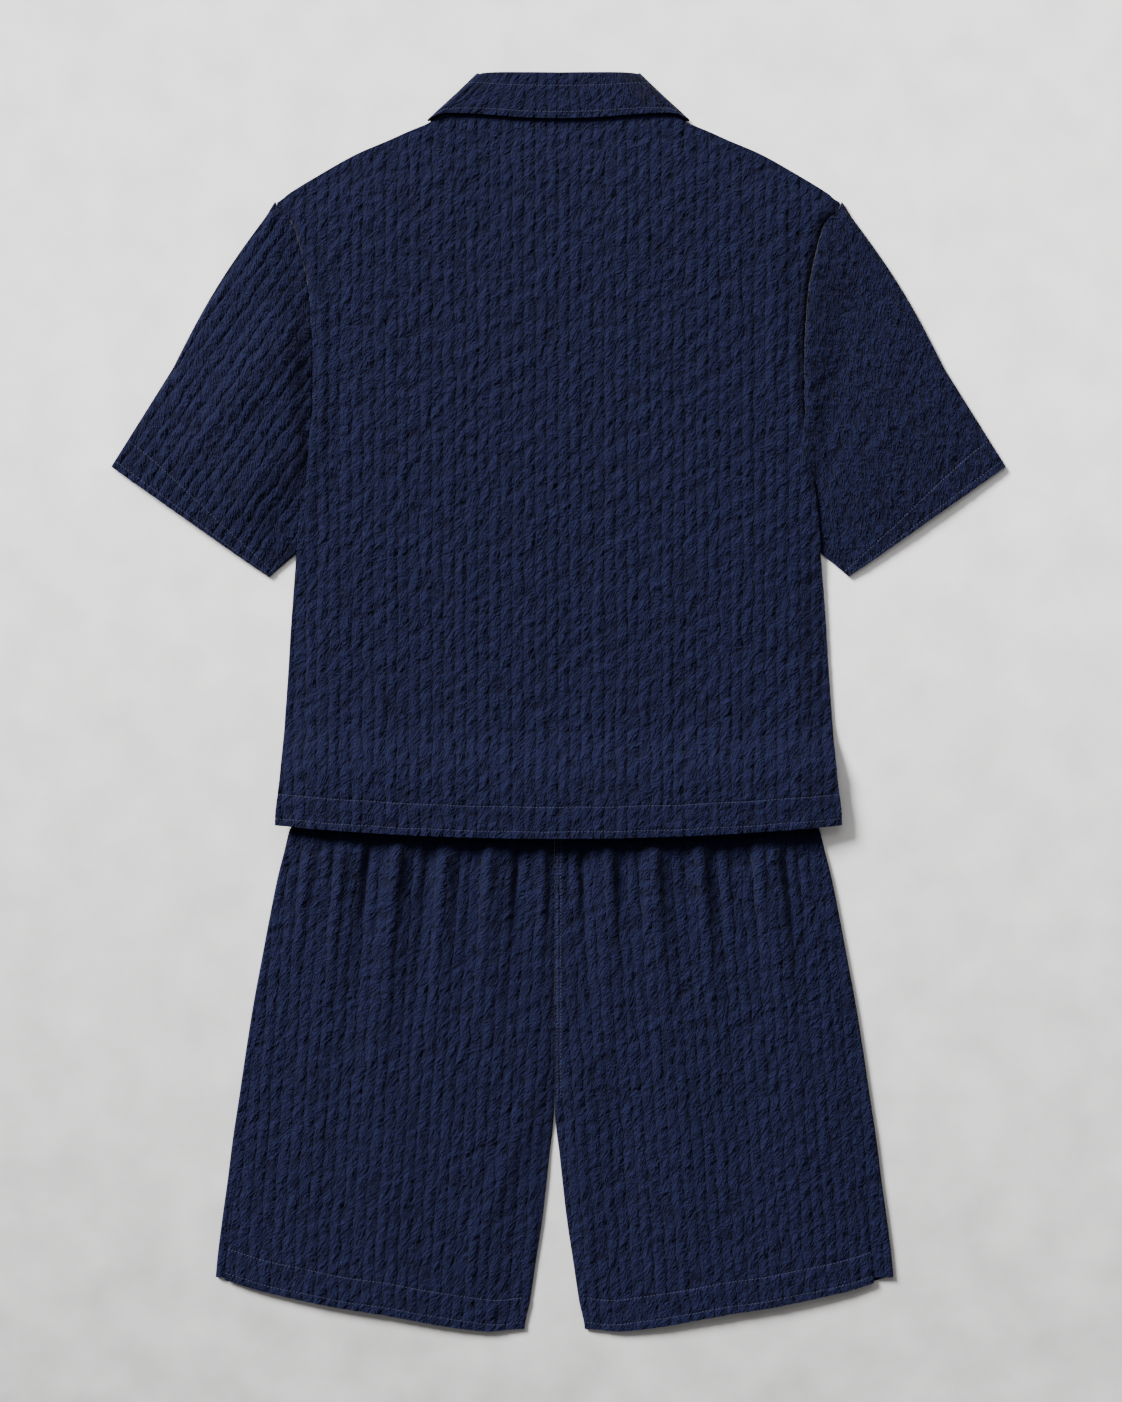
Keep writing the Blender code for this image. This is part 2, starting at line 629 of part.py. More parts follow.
def button_cutter(name, collection, parent, location):
    """Four round bars that cut the thread holes."""
    bars = bmesh.new()
    for quarter in range(4):
        angle = math.pi * (0.25 + 0.5 * quarter)
        made = bmesh.ops.create_cone(bars, cap_ends=True, segments=6,
                                     radius1=BUTTON_HOLE_RADIUS * MM,
                                     radius2=BUTTON_HOLE_RADIUS * MM,
                                     depth=2.0 * BUTTON_THICKNESS * MM)
        offset = Vector((math.cos(angle), math.sin(angle), 0.0)) * BUTTON_HOLE_OFFSET * MM
        bmesh.ops.translate(bars, verts=made["verts"], vec=offset)
    mesh = bpy.data.meshes.new(name)
    bars.to_mesh(mesh)
    bars.free()
    cutter = bpy.data.objects.new(name, mesh)
    cutter.location = location
    cutter.hide_render = True
    cutter.display_type = "WIRE"
    cutter.parent = parent
    collection.objects.link(cutter)
    return cutter


def build_shirt(parent, collection):
    """The shirt's back, fronts, sleeves and collar."""
    rows = len(BODY_ROWS) - 1
    back_columns = 2 * round(2.0 * SHIRT_HALF_HEM / RIB_PITCH)
    mesh = cloth_wall("shirt_back", back_columns, rows, back_place, relief=back_relief)
    add_object("shirt_back", mesh, "navy_seersucker", parent, collection)
    for side, name, lift in ((-1.0, "left", LEFT_PLACKET_LIFT), (1.0, "right", RIGHT_PLACKET_LIFT)):
        label = f"shirt_front_{name}"
        mesh = cloth_wall(label, FRONT_COLUMNS, rows, front_place(side, lift), spare=1, side=side)
        add_object(label, mesh, "navy_seersucker", parent, collection)
        label = f"sleeve_{name}"
        mesh = cloth_wall(label, SLEEVE_COLUMNS, len(SLEEVE_ROWS) - 1, sleeve_place(side),
                          relief=sleeve_relief, side=side)
        add_object(label, mesh, "navy_seersucker", parent, collection)
    columns = 2 * COLLAR_STEPS * (len(COLLAR["inset"]) - 1)
    mesh = cloth_wall("collar", columns, len(COLLAR_PARTS) - 1, collar_place,
                      thickness=COLLAR_WALL, spare=1, side=-1.0)
    add_object("collar", mesh, "navy_seersucker", parent, collection)


def build_buttons(parent, collection, cutters):
    """The buttons under the left front, along the centre line."""
    for number in range(BUTTON_COUNT):
        name = f"button_{number + 1}"
        place = Vector((0.0, BUTTON_TOP - BUTTON_STEP * number, 0.5 * BUTTON_THICKNESS)) * MM
        button = add_object(name, button_mesh(name), "navy_button", parent, collection)
        button.location = place
        holes = button.modifiers.new("thread_holes", "BOOLEAN")
        holes.operation = "DIFFERENCE"
        holes.object = button_cutter(f"holes_{number + 1}", cutters, parent, place)


def build_shorts(parent, collection):
    """The backs and fronts of the shorts and their waistband."""
    rows = len(SHORTS_ROWS) - 1
    for side, name in ((-1.0, "left"), (1.0, "right")):
        label = f"shorts_back_{name}"
        mesh = cloth_wall(label, BACK_LEG_COLUMNS, rows, leg_back_place(side, name),
                          relief=leg_back_relief(side, name), side=-side)
        add_object(label, mesh, "navy_seersucker", parent, collection)
        label = f"shorts_front_{name}"
        mesh = cloth_wall(label, LEG_FLAT + LEG_TURN + 1, rows, leg_front_place(side, name),
                          spare=1, side=side)
        add_object(label, mesh, "navy_seersucker", parent, collection)
    mesh = cloth_wall("waistband", 2 * WAIST_UPPER, 2, waist_place, thickness=WAIST_WALL,
                      relief=waist_relief, ring=True, spare=2)
    add_object("waistband", mesh, "waist_elastic", parent, collection)


def build():
    """Clears the scene and makes the whole set."""
    for old in list(bpy.data.objects):
        bpy.data.objects.remove(old, do_unlink=True)
    collection = bpy.data.collections.new("shirt_and_shorts_set")
    cutters = bpy.data.collections.new("cutters")
    bpy.context.scene.collection.children.link(collection)
    bpy.context.scene.collection.children.link(cutters)
    parent = bpy.data.objects.new("set_on_surface", None)
    collection.objects.link(parent)
    build_shirt(parent, collection)
    build_buttons(parent, collection, cutters)
    build_shorts(parent, collection)


build()
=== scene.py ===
"""Camp-collar shirt and shorts in navy seersucker, laid flat with the back uppermost.

Sizes are in millimetres and are turned to metres when a mesh is filled. X runs to the right
sleeve, Y runs to the collar and Z runs up from the surface that the set lies on. Each cut piece
is a thin closed wall on the form of its solid, puckered by one Geometry Nodes tree, and each row
of sewing is a path that a second tree lays stitches along.
"""
import logging
import math
from dataclasses import dataclass
from enum import Enum

import bpy
import numpy as np
from bpy.types import Material, Mesh, Node, NodeSocket, NodeTree, Object
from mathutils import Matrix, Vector
from numpy import ndarray as Array
from numpy.lib.stride_tricks import sliding_window_view


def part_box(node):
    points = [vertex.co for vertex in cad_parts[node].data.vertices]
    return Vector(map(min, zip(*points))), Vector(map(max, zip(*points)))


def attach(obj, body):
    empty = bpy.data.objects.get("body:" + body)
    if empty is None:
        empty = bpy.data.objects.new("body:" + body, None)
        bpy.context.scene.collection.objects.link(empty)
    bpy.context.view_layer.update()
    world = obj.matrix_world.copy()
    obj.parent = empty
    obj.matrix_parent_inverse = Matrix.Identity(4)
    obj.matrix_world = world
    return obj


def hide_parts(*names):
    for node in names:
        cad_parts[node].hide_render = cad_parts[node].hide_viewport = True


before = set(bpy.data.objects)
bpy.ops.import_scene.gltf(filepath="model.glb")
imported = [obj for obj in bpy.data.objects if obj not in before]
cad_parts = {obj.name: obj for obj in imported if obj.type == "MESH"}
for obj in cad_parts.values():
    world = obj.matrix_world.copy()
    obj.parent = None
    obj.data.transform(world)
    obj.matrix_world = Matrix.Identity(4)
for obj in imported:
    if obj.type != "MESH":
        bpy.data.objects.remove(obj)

LOG = logging.getLogger("garment")
MM = 0.001

# Cloth
WALL = 1.5
SHELL = 0.9
FIRST_LAYER = 1.8
HEM_DEPTH = 31.0
HEM_RAISE = 0.5
EDGE_LINE = 6.5
GROOVE_HALF = 1.3
FINE_STEP = 2.6
COARSE_STEP = 4.2
SMOOTH_ANGLE = math.radians(62.0)

# Puckers of a layer that lies underneath: low, and sunk into its own wall.
UNDER = {"height": 0.45, "base": -1.2}

# Node types used often
MATH, RANGE, XYZ = "ShaderNodeMath", "ShaderNodeMapRange", "ShaderNodeCombineXYZ"
NOISE, BUMP = "ShaderNodeTexNoise", "ShaderNodeBump"
Value = Node | NodeSocket | float


class Side(Enum):
    """The two sides of the set, as it is seen from above."""

    LEFT = -1.0
    RIGHT = 1.0

    @property
    def word(self) -> str:
        """The side's name as the nodes spell it."""
        return self.name.lower()


class Slot(Enum):
    """The record's material slots."""

    CLOTH = "navy_seersucker"
    ELASTIC = "waist_elastic"
    BUTTON = "navy_button"


class Table:
    """A short table of named columns, read on a smooth curve along its first column."""

    def __init__(self, columns: str, *rows: tuple[float, ...]) -> None:
        """Keeps the rows in rising order of the first column.

        Args:
            columns: The columns' names, parted by spaces.
            rows: The values of each row.
        """
        order = np.array(sorted(rows), float)
        self.columns = dict(zip(columns.split(), order.T))
        self.keys = order[:, 0]

    def read(self, column: str, at: Array) -> Array:
        """The value of a column at places along the first one.

        Args:
            column: The column's name.
            at: Places along the first column.

        Returns:
            The values, level at the ends and at each high or low row.
        """
        keys, values = self.keys, self.columns[column]
        count = len(keys)
        low = np.maximum(np.arange(count) - 1, 0)
        high = np.minimum(np.arange(count) + 1, count - 1)
        turns = (values[high] - values) * (values - values[low]) <= 0.0
        slopes = np.where(turns, 0.0, (values[high] - values[low]) / (keys[high] - keys[low]))
        at = np.clip(at, keys[0], keys[-1])
        here = np.clip(np.searchsorted(keys, at, side="right") - 1, 0, count - 2)
        width = keys[here + 1] - keys[here]
        t = (at - keys[here]) / width
        return ((2 * t ** 3 - 3 * t ** 2 + 1) * values[here]
                + (t ** 3 - 2 * t ** 2 + t) * slopes[here] * width
                + (3 * t ** 2 - 2 * t ** 3) * values[here + 1]
                + (t ** 3 - t ** 2) * slopes[here + 1] * width)


# Half widths of the body, from hem to shoulder. back_rise is how far the back's edge lies above
# the front, where it spreads over the sleeves.
BODY = Table(
    "y back_half front_half back_rise",
    (-123.5, 283, 283, 0), (-72, 278, 278, 0), (21, 271, 271, 0), (85, 267, 267, 0.2),
    (126, 264, 263.5, 1.6), (152, 262, 253.5, 3.9), (172, 261, 235.8, 4.6), (210, 257, 238, 4.9),
    (250, 252, 242, 5), (300, 246, 246, 4.9), (340, 246, 246, 2.6), (365, 247, 247, 2.1),
    (400, 250, 250, 1.9), (430, 256, 256, 1.6), (467, 266, 266, 1.1), (500, 282, 282, 0))

# Shoulder line from the neck out to the sleeve head.
SHOULDER = Table(
    "x y",
    (114, 588), (127, 580.5), (150, 571), (170, 562), (205, 547), (244, 525), (270, 509), (282, 500))

# Height of the armhole seam, as a share of the way from the shoulder point to the underarm.
ARMHOLE = Table(
    "share y",
    (0, 500), (0.11, 467), (0.22, 430), (0.31, 400), (0.42, 365), (0.5, 340), (0.62, 300), (0.77, 250),
    (0.89, 210), (1, 170))

# Sections of the collar from the centre back, round the side of the neck, to the front end.
COLLAR = Table(
    "station seam_x seam_y fold_x fold_y edge_x edge_y stand_z fall_z inset",
    (0, 0, 588.7, 0, 628.9, 0, 583.5, 5.1, 5.7, 0), (1, 36, 588.7, 30, 629.2, 37, 584.5, 5.1, 5.7, 0),
    (2, 74, 588.7, 58, 629.1, 82, 588, 5.1, 5.7, 0), (3, 103, 589.5, 73, 628.3, 112, 588.8, 5.1, 5.8, 0),
    (4, 114, 591.5, 79.5, 627.3, 128, 583, 4.9, 5.8, 0.3),
    (5, 117, 592.5, 81.3, 627.6, 130.5, 581.2, 3.5, 3.5, 1.2),
    (6, 114, 591.5, 79, 626.8, 128, 582, 2, 1.3, 0.3), (7, 96, 574, 66, 604, 125, 552, 1.95, 1.3, 0),
    (8, 76, 551, 50, 575, 118, 518, 1.95, 1.3, 0), (9, 50, 522.5, 34, 538, 109, 478, 1.95, 1.3, 0),
    (10, 31, 500, 22, 507, 98, 440, 1.95, 1.3, 0))

# Half widths of the shorts from their centre line; inner is the centre seam, then the inseam.
LEGS = Table(
    "y outer inner loft",
    (-120.6, 261, 0.5, 0.8), (-128.5, 265.5, 0.5, 1), (-148.5, 270.5, 0.5, 1.8), (-178.5, 278, 0.5, 2.6),
    (-218.5, 286, 0.5, 3.2), (-258.5, 293.5, 0.5, 3.4), (-298.5, 301, 0.5, 3.4),
    (-338.5, 307.5, 0.5, 3.6), (-378.5, 313.5, 0.5, 4), (-396, 316, 0.5, 4.2), (-418.5, 319.5, 2, 4.6),
    (-438.5, 322.5, 4.5, 5), (-478.5, 327.5, 8, 5), (-518.5, 333, 12.5, 4.6), (-558.5, 338, 18.5, 4.2),
    (-598.5, 341, 24.5, 4), (-631, 342, 30.5, 4))

SHORTS_HEM = Table(
    "x y",
    (30, -628.5), (54.5, -630.5), (94.5, -626.5), (134.5, -619.5), (174.5, -612.5), (214.5, -606.5),
    (254.5, -598.5), (294.5, -589.5), (314.5, -583.5), (334.5, -577.5), (342, -576.5))

# Gathers below the waistband: place along the waist, height over the cloth, half width, length.
GATHERS = Table(
    "x height width length",
    (-237, 1.2, 14, 190), (-204, 1.9, 15, 260), (-179.5, -1.4, 12, 230), (-154.5, 2.2, 13, 330),
    (-124.5, -1.6, 12, 250), (-104.5, 1.6, 12, 210), (-84.5, -1.5, 11, 270), (-59.5, 1.7, 13, 230),
    (-34.5, -1.3, 11, 240), (-13, 1.1, 11, 200), (30.5, -1.4, 11, 220), (48, 1.6, 12, 260),
    (72, -0.9, 11, 170), (96, 2, 14, 310), (123, -1, 12, 200), (140.5, 1.5, 12, 230),
    (157.5, -1.4, 11, 260), (183, -1.3, 11, 230), (207, 1.9, 14, 280), (233, -1.1, 12, 210),
    (247, 1, 10, 180))

# Soft creases of the back: from one end to the other, half width and height.
BACK_CREASES = Table(
    "x0 y0 x1 y1 width height",
    (-262, 470, -246, 300, 9, 1.6), (-240, 262, -245, 40, 4, -1.1), (-214, 420, -226, 210, 12, -1.5),
    (222, 470, 214, 250, 12, 1.9), (198, 430, 206, 190, 12, -1.3), (60, 520, 84, 330, 20, 1.2),
    (-60, 540, -104, 380, 20, -1), (-96, 120, -70, -60, 18, 1.2), (140, 90, 118, -90, 16, -1.2),
    (246, 150, 236, -60, 9, 1.3), (-180, 20, -196, -110, 13, 1.3), (20, 180, 8, -40, 20, -0.9))

# Soft creases of the fronts, which lie underneath and so only rise.
FRONT_CREASES = Table(
    "x0 y0 x1 y1 width height",
    (-190, 240, -150, 60, 14, 0.7), (-120, 380, -96, 180, 11, 0.6), (96, 330, 130, 110, 13, 0.7),
    (170, 150, 196, -40, 12, 0.6))

# Soft creases of the shorts, whose legs fold a little along the inner side.
SHORTS_CREASES = Table(
    "x0 y0 x1 y1 width height",
    (-16, -376, -82, -556, 10, 2.6), (-34, -470, -46, -612, 8, -1.4), (-150, -400, -172, -560, 18, 1.4),
    (-206, -300, -222, -500, 16, -1.3), (-270, -360, -288, -540, 14, -1.2), (22, -400, 34, -590, 9, 1.8),
    (62, -390, 72, -566, 13, -2.4), (118, -350, 136, -560, 20, 1.8), (186, -340, 200, -560, 16, -1.2),
    (232, -380, 262, -570, 16, 1.4), (-60, -330, -10, -384, 8, 1.2), (10, -386, 46, -340, 8, 1))

# Soft creases of a sleeve: millimetres from the outer fold, then from the armhole.
SLEEVE_CREASES = Table(
    "x0 y0 x1 y1 width height",
    (215, 20, 205, 270, 20, -2), (176, 10, 150, 250, 14, 2.6), (128, 10, 104, 210, 13, -1.6),
    (92, 0, 70, 240, 12, 2), (46, 10, 40, 200, 10, -1.2), (24, 30, 22, 260, 9, 1.2))


def ease(value: Array, low: float, high: float) -> Array:
    """A smooth step.

    Args:
        value: Places along the step.
        low: Where it is 0.
        high: Where it is 1, which may be below low.

    Returns:
        Values from 0 to 1.
    """
    t = np.clip((value - low) / (high - low), 0.0, 1.0)
    return t * t * (3.0 - 2.0 * t)


def bell(value: Array, middle: float, width: float) -> Array:
    """A soft bump, 1 at its middle."""
    return np.exp(-((value - middle) / width) ** 2)


def points(*parts: Array) -> Array:
    """Arrays joined as the coordinates of points."""
    return np.stack(parts, -1)


def quads(grid: Array) -> list[list[int]]:
    """The corners of each cell in a grid of point numbers."""
    corners = (grid[:-1, :-1], grid[1:, :-1], grid[1:, 1:], grid[:-1, 1:])
    return np.stack(corners, -1).reshape(-1, 4).tolist()


def arch(share: Array, power: float = 0.6) -> Array:
    """A rounded arch over shares from 0 to 1."""
    return np.maximum(np.sin(np.pi * np.clip(share, 0.0, 1.0)), 0.0) ** power


def crease_height(creases: Table, x: Array, y: Array) -> Array:
    """Height of a table of soft creases.

    Args:
        creases: Ends, half width and height of each crease, in the table's own column order.
        x: First coordinate of the points.
        y: Second coordinate of the points.

    Returns:
        The sum of the creases, each fading out at both ends.
    """
    total = np.zeros_like(x)
    for x0, y0, x1, y1, width, height in zip(*creases.columns.values()):
        length = math.hypot(x1 - x0, y1 - y0)
        way_x, way_y = (x1 - x0) / length, (y1 - y0) / length
        along = (x - x0) * way_x + (y - y0) * way_y
        across = (x - x0) * way_y - (y - y0) * way_x
        fade = 0.35 * length
        ends = ease(along, -fade, fade) * ease(along, length + fade, length - fade)
        total += height * bell(across, 0.0, width) * ends
    return total


def spaced(start: float, end: float, step: float, lines: tuple[float, ...] = ()) -> Array:
    """Places along a length, closer together at the lines that a seam or stitch follows.

    Args:
        start: First place.
        end: Last place.
        step: Usual distance between places.
        lines: Places that get closer neighbours.

    Returns:
        The places, in rising order.
    """
    count = max(round((end - start) / step), 2)
    places = list(np.linspace(start, end, count + 1))
    for line in lines:
        places = [place for place in places if abs(place - line) > 2.4]
        places += [line + offset for offset in (-2.0, -1.2, -0.5, 0.0, 0.5, 1.2, 2.0)]
    places = [place for place in places if start < place < end]
    return np.array(sorted([start, *places, end]))


def hem_form(distance: Array) -> tuple[Array, Array]:
    """The turned band of a hem.

    Args:
        distance: How far points lie from the hem's edge.

    Returns:
        The height over the plain cloth, and how much the cloth puckers there.
    """
    band = ease(distance, HEM_DEPTH + 1.0, HEM_DEPTH - 0.5)
    groove = bell(distance, HEM_DEPTH, GROOVE_HALF)
    edge = bell(distance, EDGE_LINE, GROOVE_HALF)
    height = HEM_RAISE * band - 0.45 * groove - 0.3 * edge
    return height, (1.0 - 0.35 * band) * (1.0 - 0.6 * groove) * (1.0 - 0.5 * edge)


def linear(colour: str) -> tuple[float, float, float, float]:
    """Turns an sRGB hex colour to linear.

    Args:
        colour: The colour, as #rrggbb.

    Returns:
        Red, green, blue and alpha.
    """
    parts = [int(colour[place:place + 2], 16) / 255.0 for place in (1, 3, 5)]
    red, green, blue = (part / 12.92 if part <= 0.04045 else ((part + 0.055) / 1.055) ** 2.4
                        for part in parts)
    return red, green, blue, 1.0


def wire(tree: NodeTree, node: Node, links: dict) -> None:
    """Links or sets a node's inputs.

    Args:
        tree: The node's tree.
        node: The node.
        links: For each input, by name or number, a node or socket to link or a value to set.
    """
    for key, value in links.items():
        if isinstance(value, Node):
            value = value.outputs[0]
        if isinstance(value, NodeSocket):
            tree.links.new(value, node.inputs[key])
        else:
            node.inputs[key].default_value = value


def add_node(tree: NodeTree, kind: str, links: dict | tuple = (), **settings: object) -> Node:
    """Adds a node with its settings and links.

    Args:
        tree: The tree that gets the node.
        kind: The node's type.
        links: What the inputs get, by name or number, or in order.
        settings: The node's own properties.

    Returns:
        The new node.
    """
    node = tree.nodes.new(kind)
    for name, value in settings.items():
        setattr(node, name, value)
    wire(tree, node, links if isinstance(links, dict) else dict(enumerate(links)))
    return node


@dataclass(frozen=True)
class Puckers:
    """The seersucker's relief: slack stripes that ruck up between tight ones."""

    spacing: float = 11.5
    length: float = 13.0
    lean: float = 0.55
    wander: float = 9.0
    wander_scale: float = 0.045
    patch_scale: float = 0.05
    patch_depths: tuple[float, float] = (0.3, 0.62)
    bulge: float = 0.46
    crest_width: float = 4.2
    crest_length: float = 11.0
    crest_angle: float = math.radians(33.0)
    crest_line: float = 0.09

    def relief(self, tree: NodeTree, across: NodeSocket, along: NodeSocket, spacing: Value,
               length: Value, seed: Value, sharpness: float) -> Node:
        """Adds the nodes of the ribs and puckers, alike in Geometry Nodes and in a material.

        Args:
            tree: The tree that gets the nodes.
            across: Millimetres across the stripes.
            along: Millimetres along the stripes.
            spacing: Distance between the tight stripes.
            length: Length of a pucker along its stripe.
            seed: A number that shifts the pattern.
            sharpness: Power of the ribs' arch; below 1 the valleys are narrow.

        Returns:
            The relief, from 0 in the valleys to about 1 on the ridges.
        """
        place = add_node(tree, XYZ, (across, along, seed))
        drift = add_node(tree, NOISE, {"Vector": place, "Scale": self.wander_scale, "Detail": 2.0})
        sway = add_node(tree, MATH, (drift, 0.5), operation="SUBTRACT")
        sway = add_node(tree, MATH, (sway, self.wander), operation="MULTIPLY")
        wandering = add_node(tree, MATH, (across, sway), operation="ADD")
        column = add_node(tree, MATH, (wandering, spacing), operation="DIVIDE")
        swell = add_node(tree, MATH, (column, math.pi), operation="MULTIPLY")
        for operation in ("SINE", "ABSOLUTE"):
            swell = add_node(tree, MATH, (swell,), operation=operation)
        ridge = add_node(tree, MATH, (swell, sharpness), operation="POWER")
        row = add_node(tree, MATH, (wandering, -self.lean, along), operation="MULTIPLY_ADD")
        row = add_node(tree, MATH, (row, length), operation="DIVIDE")
        cell = add_node(tree, XYZ, (column, row, seed))
        lump = add_node(tree, NOISE, {"Vector": cell, "Scale": 1.0, "Detail": 1.0})
        bulge = add_node(tree, RANGE, (lump, 0.3, 0.7), interpolation_type="SMOOTHSTEP")
        patch = add_node(tree, NOISE, {"Vector": place, "Scale": self.patch_scale, "Detail": 1.0})
        depth = add_node(tree, RANGE, (patch, 0.3, 0.7, *self.patch_depths),
                         interpolation_type="SMOOTHSTEP")
        bulge = add_node(tree, MATH, (bulge, self.bulge), operation="MULTIPLY")
        return add_node(tree, MATH, (ridge, depth, bulge), operation="MULTIPLY_ADD")

    def crests(self, tree: NodeTree, across: NodeSocket, along: NodeSocket, size: float) -> Node:
        """Adds the nodes of the short leaning crests that cross the ribs.

        Args:
            tree: The material's tree.
            across: Millimetres across the stripes.
            along: Millimetres along the stripes.
            size: Scale of the crests, where 1 is the usual one.

        Returns:
            The crests, 1 on their lines and 0 between them.
        """
        sine, cosine = math.sin(self.crest_angle), math.cos(self.crest_angle)
        turned = []
        for on_across, on_along, reach in ((cosine, -sine, self.crest_width),
                                           (sine, cosine, self.crest_length)):
            way = add_node(tree, MATH, (across, on_across), operation="MULTIPLY")
            way = add_node(tree, MATH, (along, on_along, way), operation="MULTIPLY_ADD")
            turned.append(add_node(tree, MATH, (way, reach * size), operation="DIVIDE"))
        at = add_node(tree, XYZ, (*turned, size))
        noise = add_node(tree, NOISE, {"Vector": at, "Scale": 1.0, "Detail": 1.5})
        off = add_node(tree, MATH, (noise, 0.5), operation="SUBTRACT")
        off = add_node(tree, MATH, (off,), operation="ABSOLUTE")
        return add_node(tree, RANGE, (off, self.crest_line, 0.0), interpolation_type="SMOOTHSTEP")


PUCKERS = Puckers()


@dataclass(frozen=True)
class Finish:
    """What every material has: its name, a dark and a light colour and its roughness."""

    name: str
    dark: str
    light: str
    roughness: float

    def start(self) -> tuple[Material, NodeTree]:
        """Starts the material.

        Returns:
            The material and its tree.
        """
        made = bpy.data.materials.new(self.name)
        made.use_nodes = True
        return made, made.node_tree

    def close(self, made: Material, tone: Node, links: dict) -> Material:
        """Links the shader.

        Args:
            made: The material.
            tone: Where its colour lies between the dark and the light one.
            links: What the shader's other inputs get.

        Returns:
            The material.
        """
        tree = made.node_tree
        colour = add_node(tree, "ShaderNodeMix", {0: tone, 6: linear(self.dark), 7: linear(self.light)},
                          data_type="RGBA", clamp_factor=True).outputs[2]
        wire(tree, tree.nodes["Principled BSDF"],
             {"Base Color": colour, "Roughness": self.roughness, **links})
        return made


@dataclass(frozen=True)
class Cotton(Finish):
    """Woven cotton seersucker: matt yarn, faint dry sheen, painted shade in valleys, painted highlight on
    ridges.
    """

    name: str = "woven_cotton_seersucker"
    # Painted shade and highlight: the dark colour fills the valleys, the light one the ridges and crest
    # lines.
    dark: str = "#040515"
    light: str = "#0c0f29"
    roughness: float = 0.9
    seed: float = 3.0
    arch_power: float = 0.5
    crest_relief: float = 0.26
    # How much the crest lines are lightened, as painted highlight.
    crest_painted_highlight: float = 1.1
    # Relief range over which the colour runs from painted shade in the valleys to painted highlight on
    # the ridges.
    painted_shading_range: tuple[float, float] = (0.2, 0.9)
    yarn: float = 1.4
    yarn_tone: float = 0.7
    yarn_relief: float = 0.08
    bump: float = 0.005
    sheen: float = 0.02

    def material(self) -> Material:
        """Builds the cloth's material on the piece's own across and along attribute.

        Returns:
            The material.
        """
        made, tree = self.start()
        cloth = add_node(tree, "ShaderNodeAttribute", attribute_name="cloth").outputs["Vector"]
        across, along, _ = add_node(tree, "ShaderNodeSeparateXYZ", (cloth,)).outputs
        relief = PUCKERS.relief(tree, across, along, PUCKERS.spacing, PUCKERS.length, self.seed,
                                self.arch_power)
        small, usual = (PUCKERS.crests(tree, across, along, size) for size in (0.6, 1.0))
        crests = add_node(tree, MATH, (small, 0.5, usual), operation="MULTIPLY_ADD")
        relief = add_node(tree, MATH, (crests, self.crest_relief, relief), operation="MULTIPLY_ADD")
        # The real yarns lie 0.3 mm apart and are drawn coarser, so that they show.
        steps = ((across, 0.6 * self.yarn), (along, self.yarn))
        yarns = [add_node(tree, MATH, pair, operation="DIVIDE") for pair in steps]
        grid = add_node(tree, XYZ, (*yarns, 0.0))
        weave = add_node(tree, NOISE, {"Vector": grid, "Scale": 1.0, "Detail": 1.0})
        flecks = add_node(tree, MATH, (weave, 0.5), operation="SUBTRACT")
        flecks = add_node(tree, MATH, (flecks, self.yarn_tone), operation="MULTIPLY")
        # Painted shade and highlight: the colour follows the relief, dark in the valleys and light on the
        # ridges; the yarn flecks add random tone.
        tone = add_node(tree, RANGE, (relief, *self.painted_shading_range), interpolation_type="SMOOTHSTEP")
        # Painted highlight along the crest lines.
        tone = add_node(tree, MATH, (crests, self.crest_painted_highlight, tone), operation="MULTIPLY_ADD")
        tone = add_node(tree, MATH, (tone, flecks), operation="ADD")
        height = add_node(tree, MATH, (weave, self.yarn_relief, relief), operation="MULTIPLY_ADD")
        bump = add_node(tree, BUMP, {"Height": height, "Strength": 1.0, "Distance": self.bump})
        return self.close(made, tone, {"Normal": bump, "Sheen Weight": self.sheen,
                                       "Sheen Roughness": 0.45, "Specular IOR Level": 0.09})


@dataclass(frozen=True)
class Thread(Finish):
    """Spun polyester sewing thread: a soft twist that catches a little more light than cloth."""

    name: str = "spun_polyester_thread"
    dark: str = "#1a2038"
    light: str = "#2d3454"
    roughness: float = 0.6
    twist_scale: float = 900.0
    sheen: float = 0.1

    def material(self) -> Material:
        """Builds the thread's material, with its twist from Object coordinates.

        Returns:
            The material.
        """
        made, tree = self.start()
        place = add_node(tree, "ShaderNodeTexCoord").outputs["Object"]
        twist = add_node(tree, NOISE, {"Vector": place, "Scale": self.twist_scale, "Detail": 1.0})
        return self.close(made, twist, {"Sheen Weight": self.sheen})


@dataclass(frozen=True)
class Resin(Finish):
    """Cast polyester resin, dyed navy and tumbled satin: faint clouds under a soft gloss."""

    name: str = "cast_polyester_resin"
    dark: str = "#12172a"
    light: str = "#232a44"
    roughness: float = 0.32
    cloud_scale: float = 260.0
    bump: float = 0.0002
    ior: float = 1.55

    def material(self) -> Material:
        """Builds the buttons' material.

        Returns:
            The material.
        """
        made, tree = self.start()
        place = add_node(tree, "ShaderNodeTexCoord").outputs["Object"]
        cloud = add_node(tree, NOISE, {"Vector": place, "Scale": self.cloud_scale, "Detail": 3.0})
        bump = add_node(tree, BUMP, {"Height": cloud, "Strength": 0.1, "Distance": self.bump})
        return self.close(made, cloud, {"Normal": bump, "IOR": self.ior})


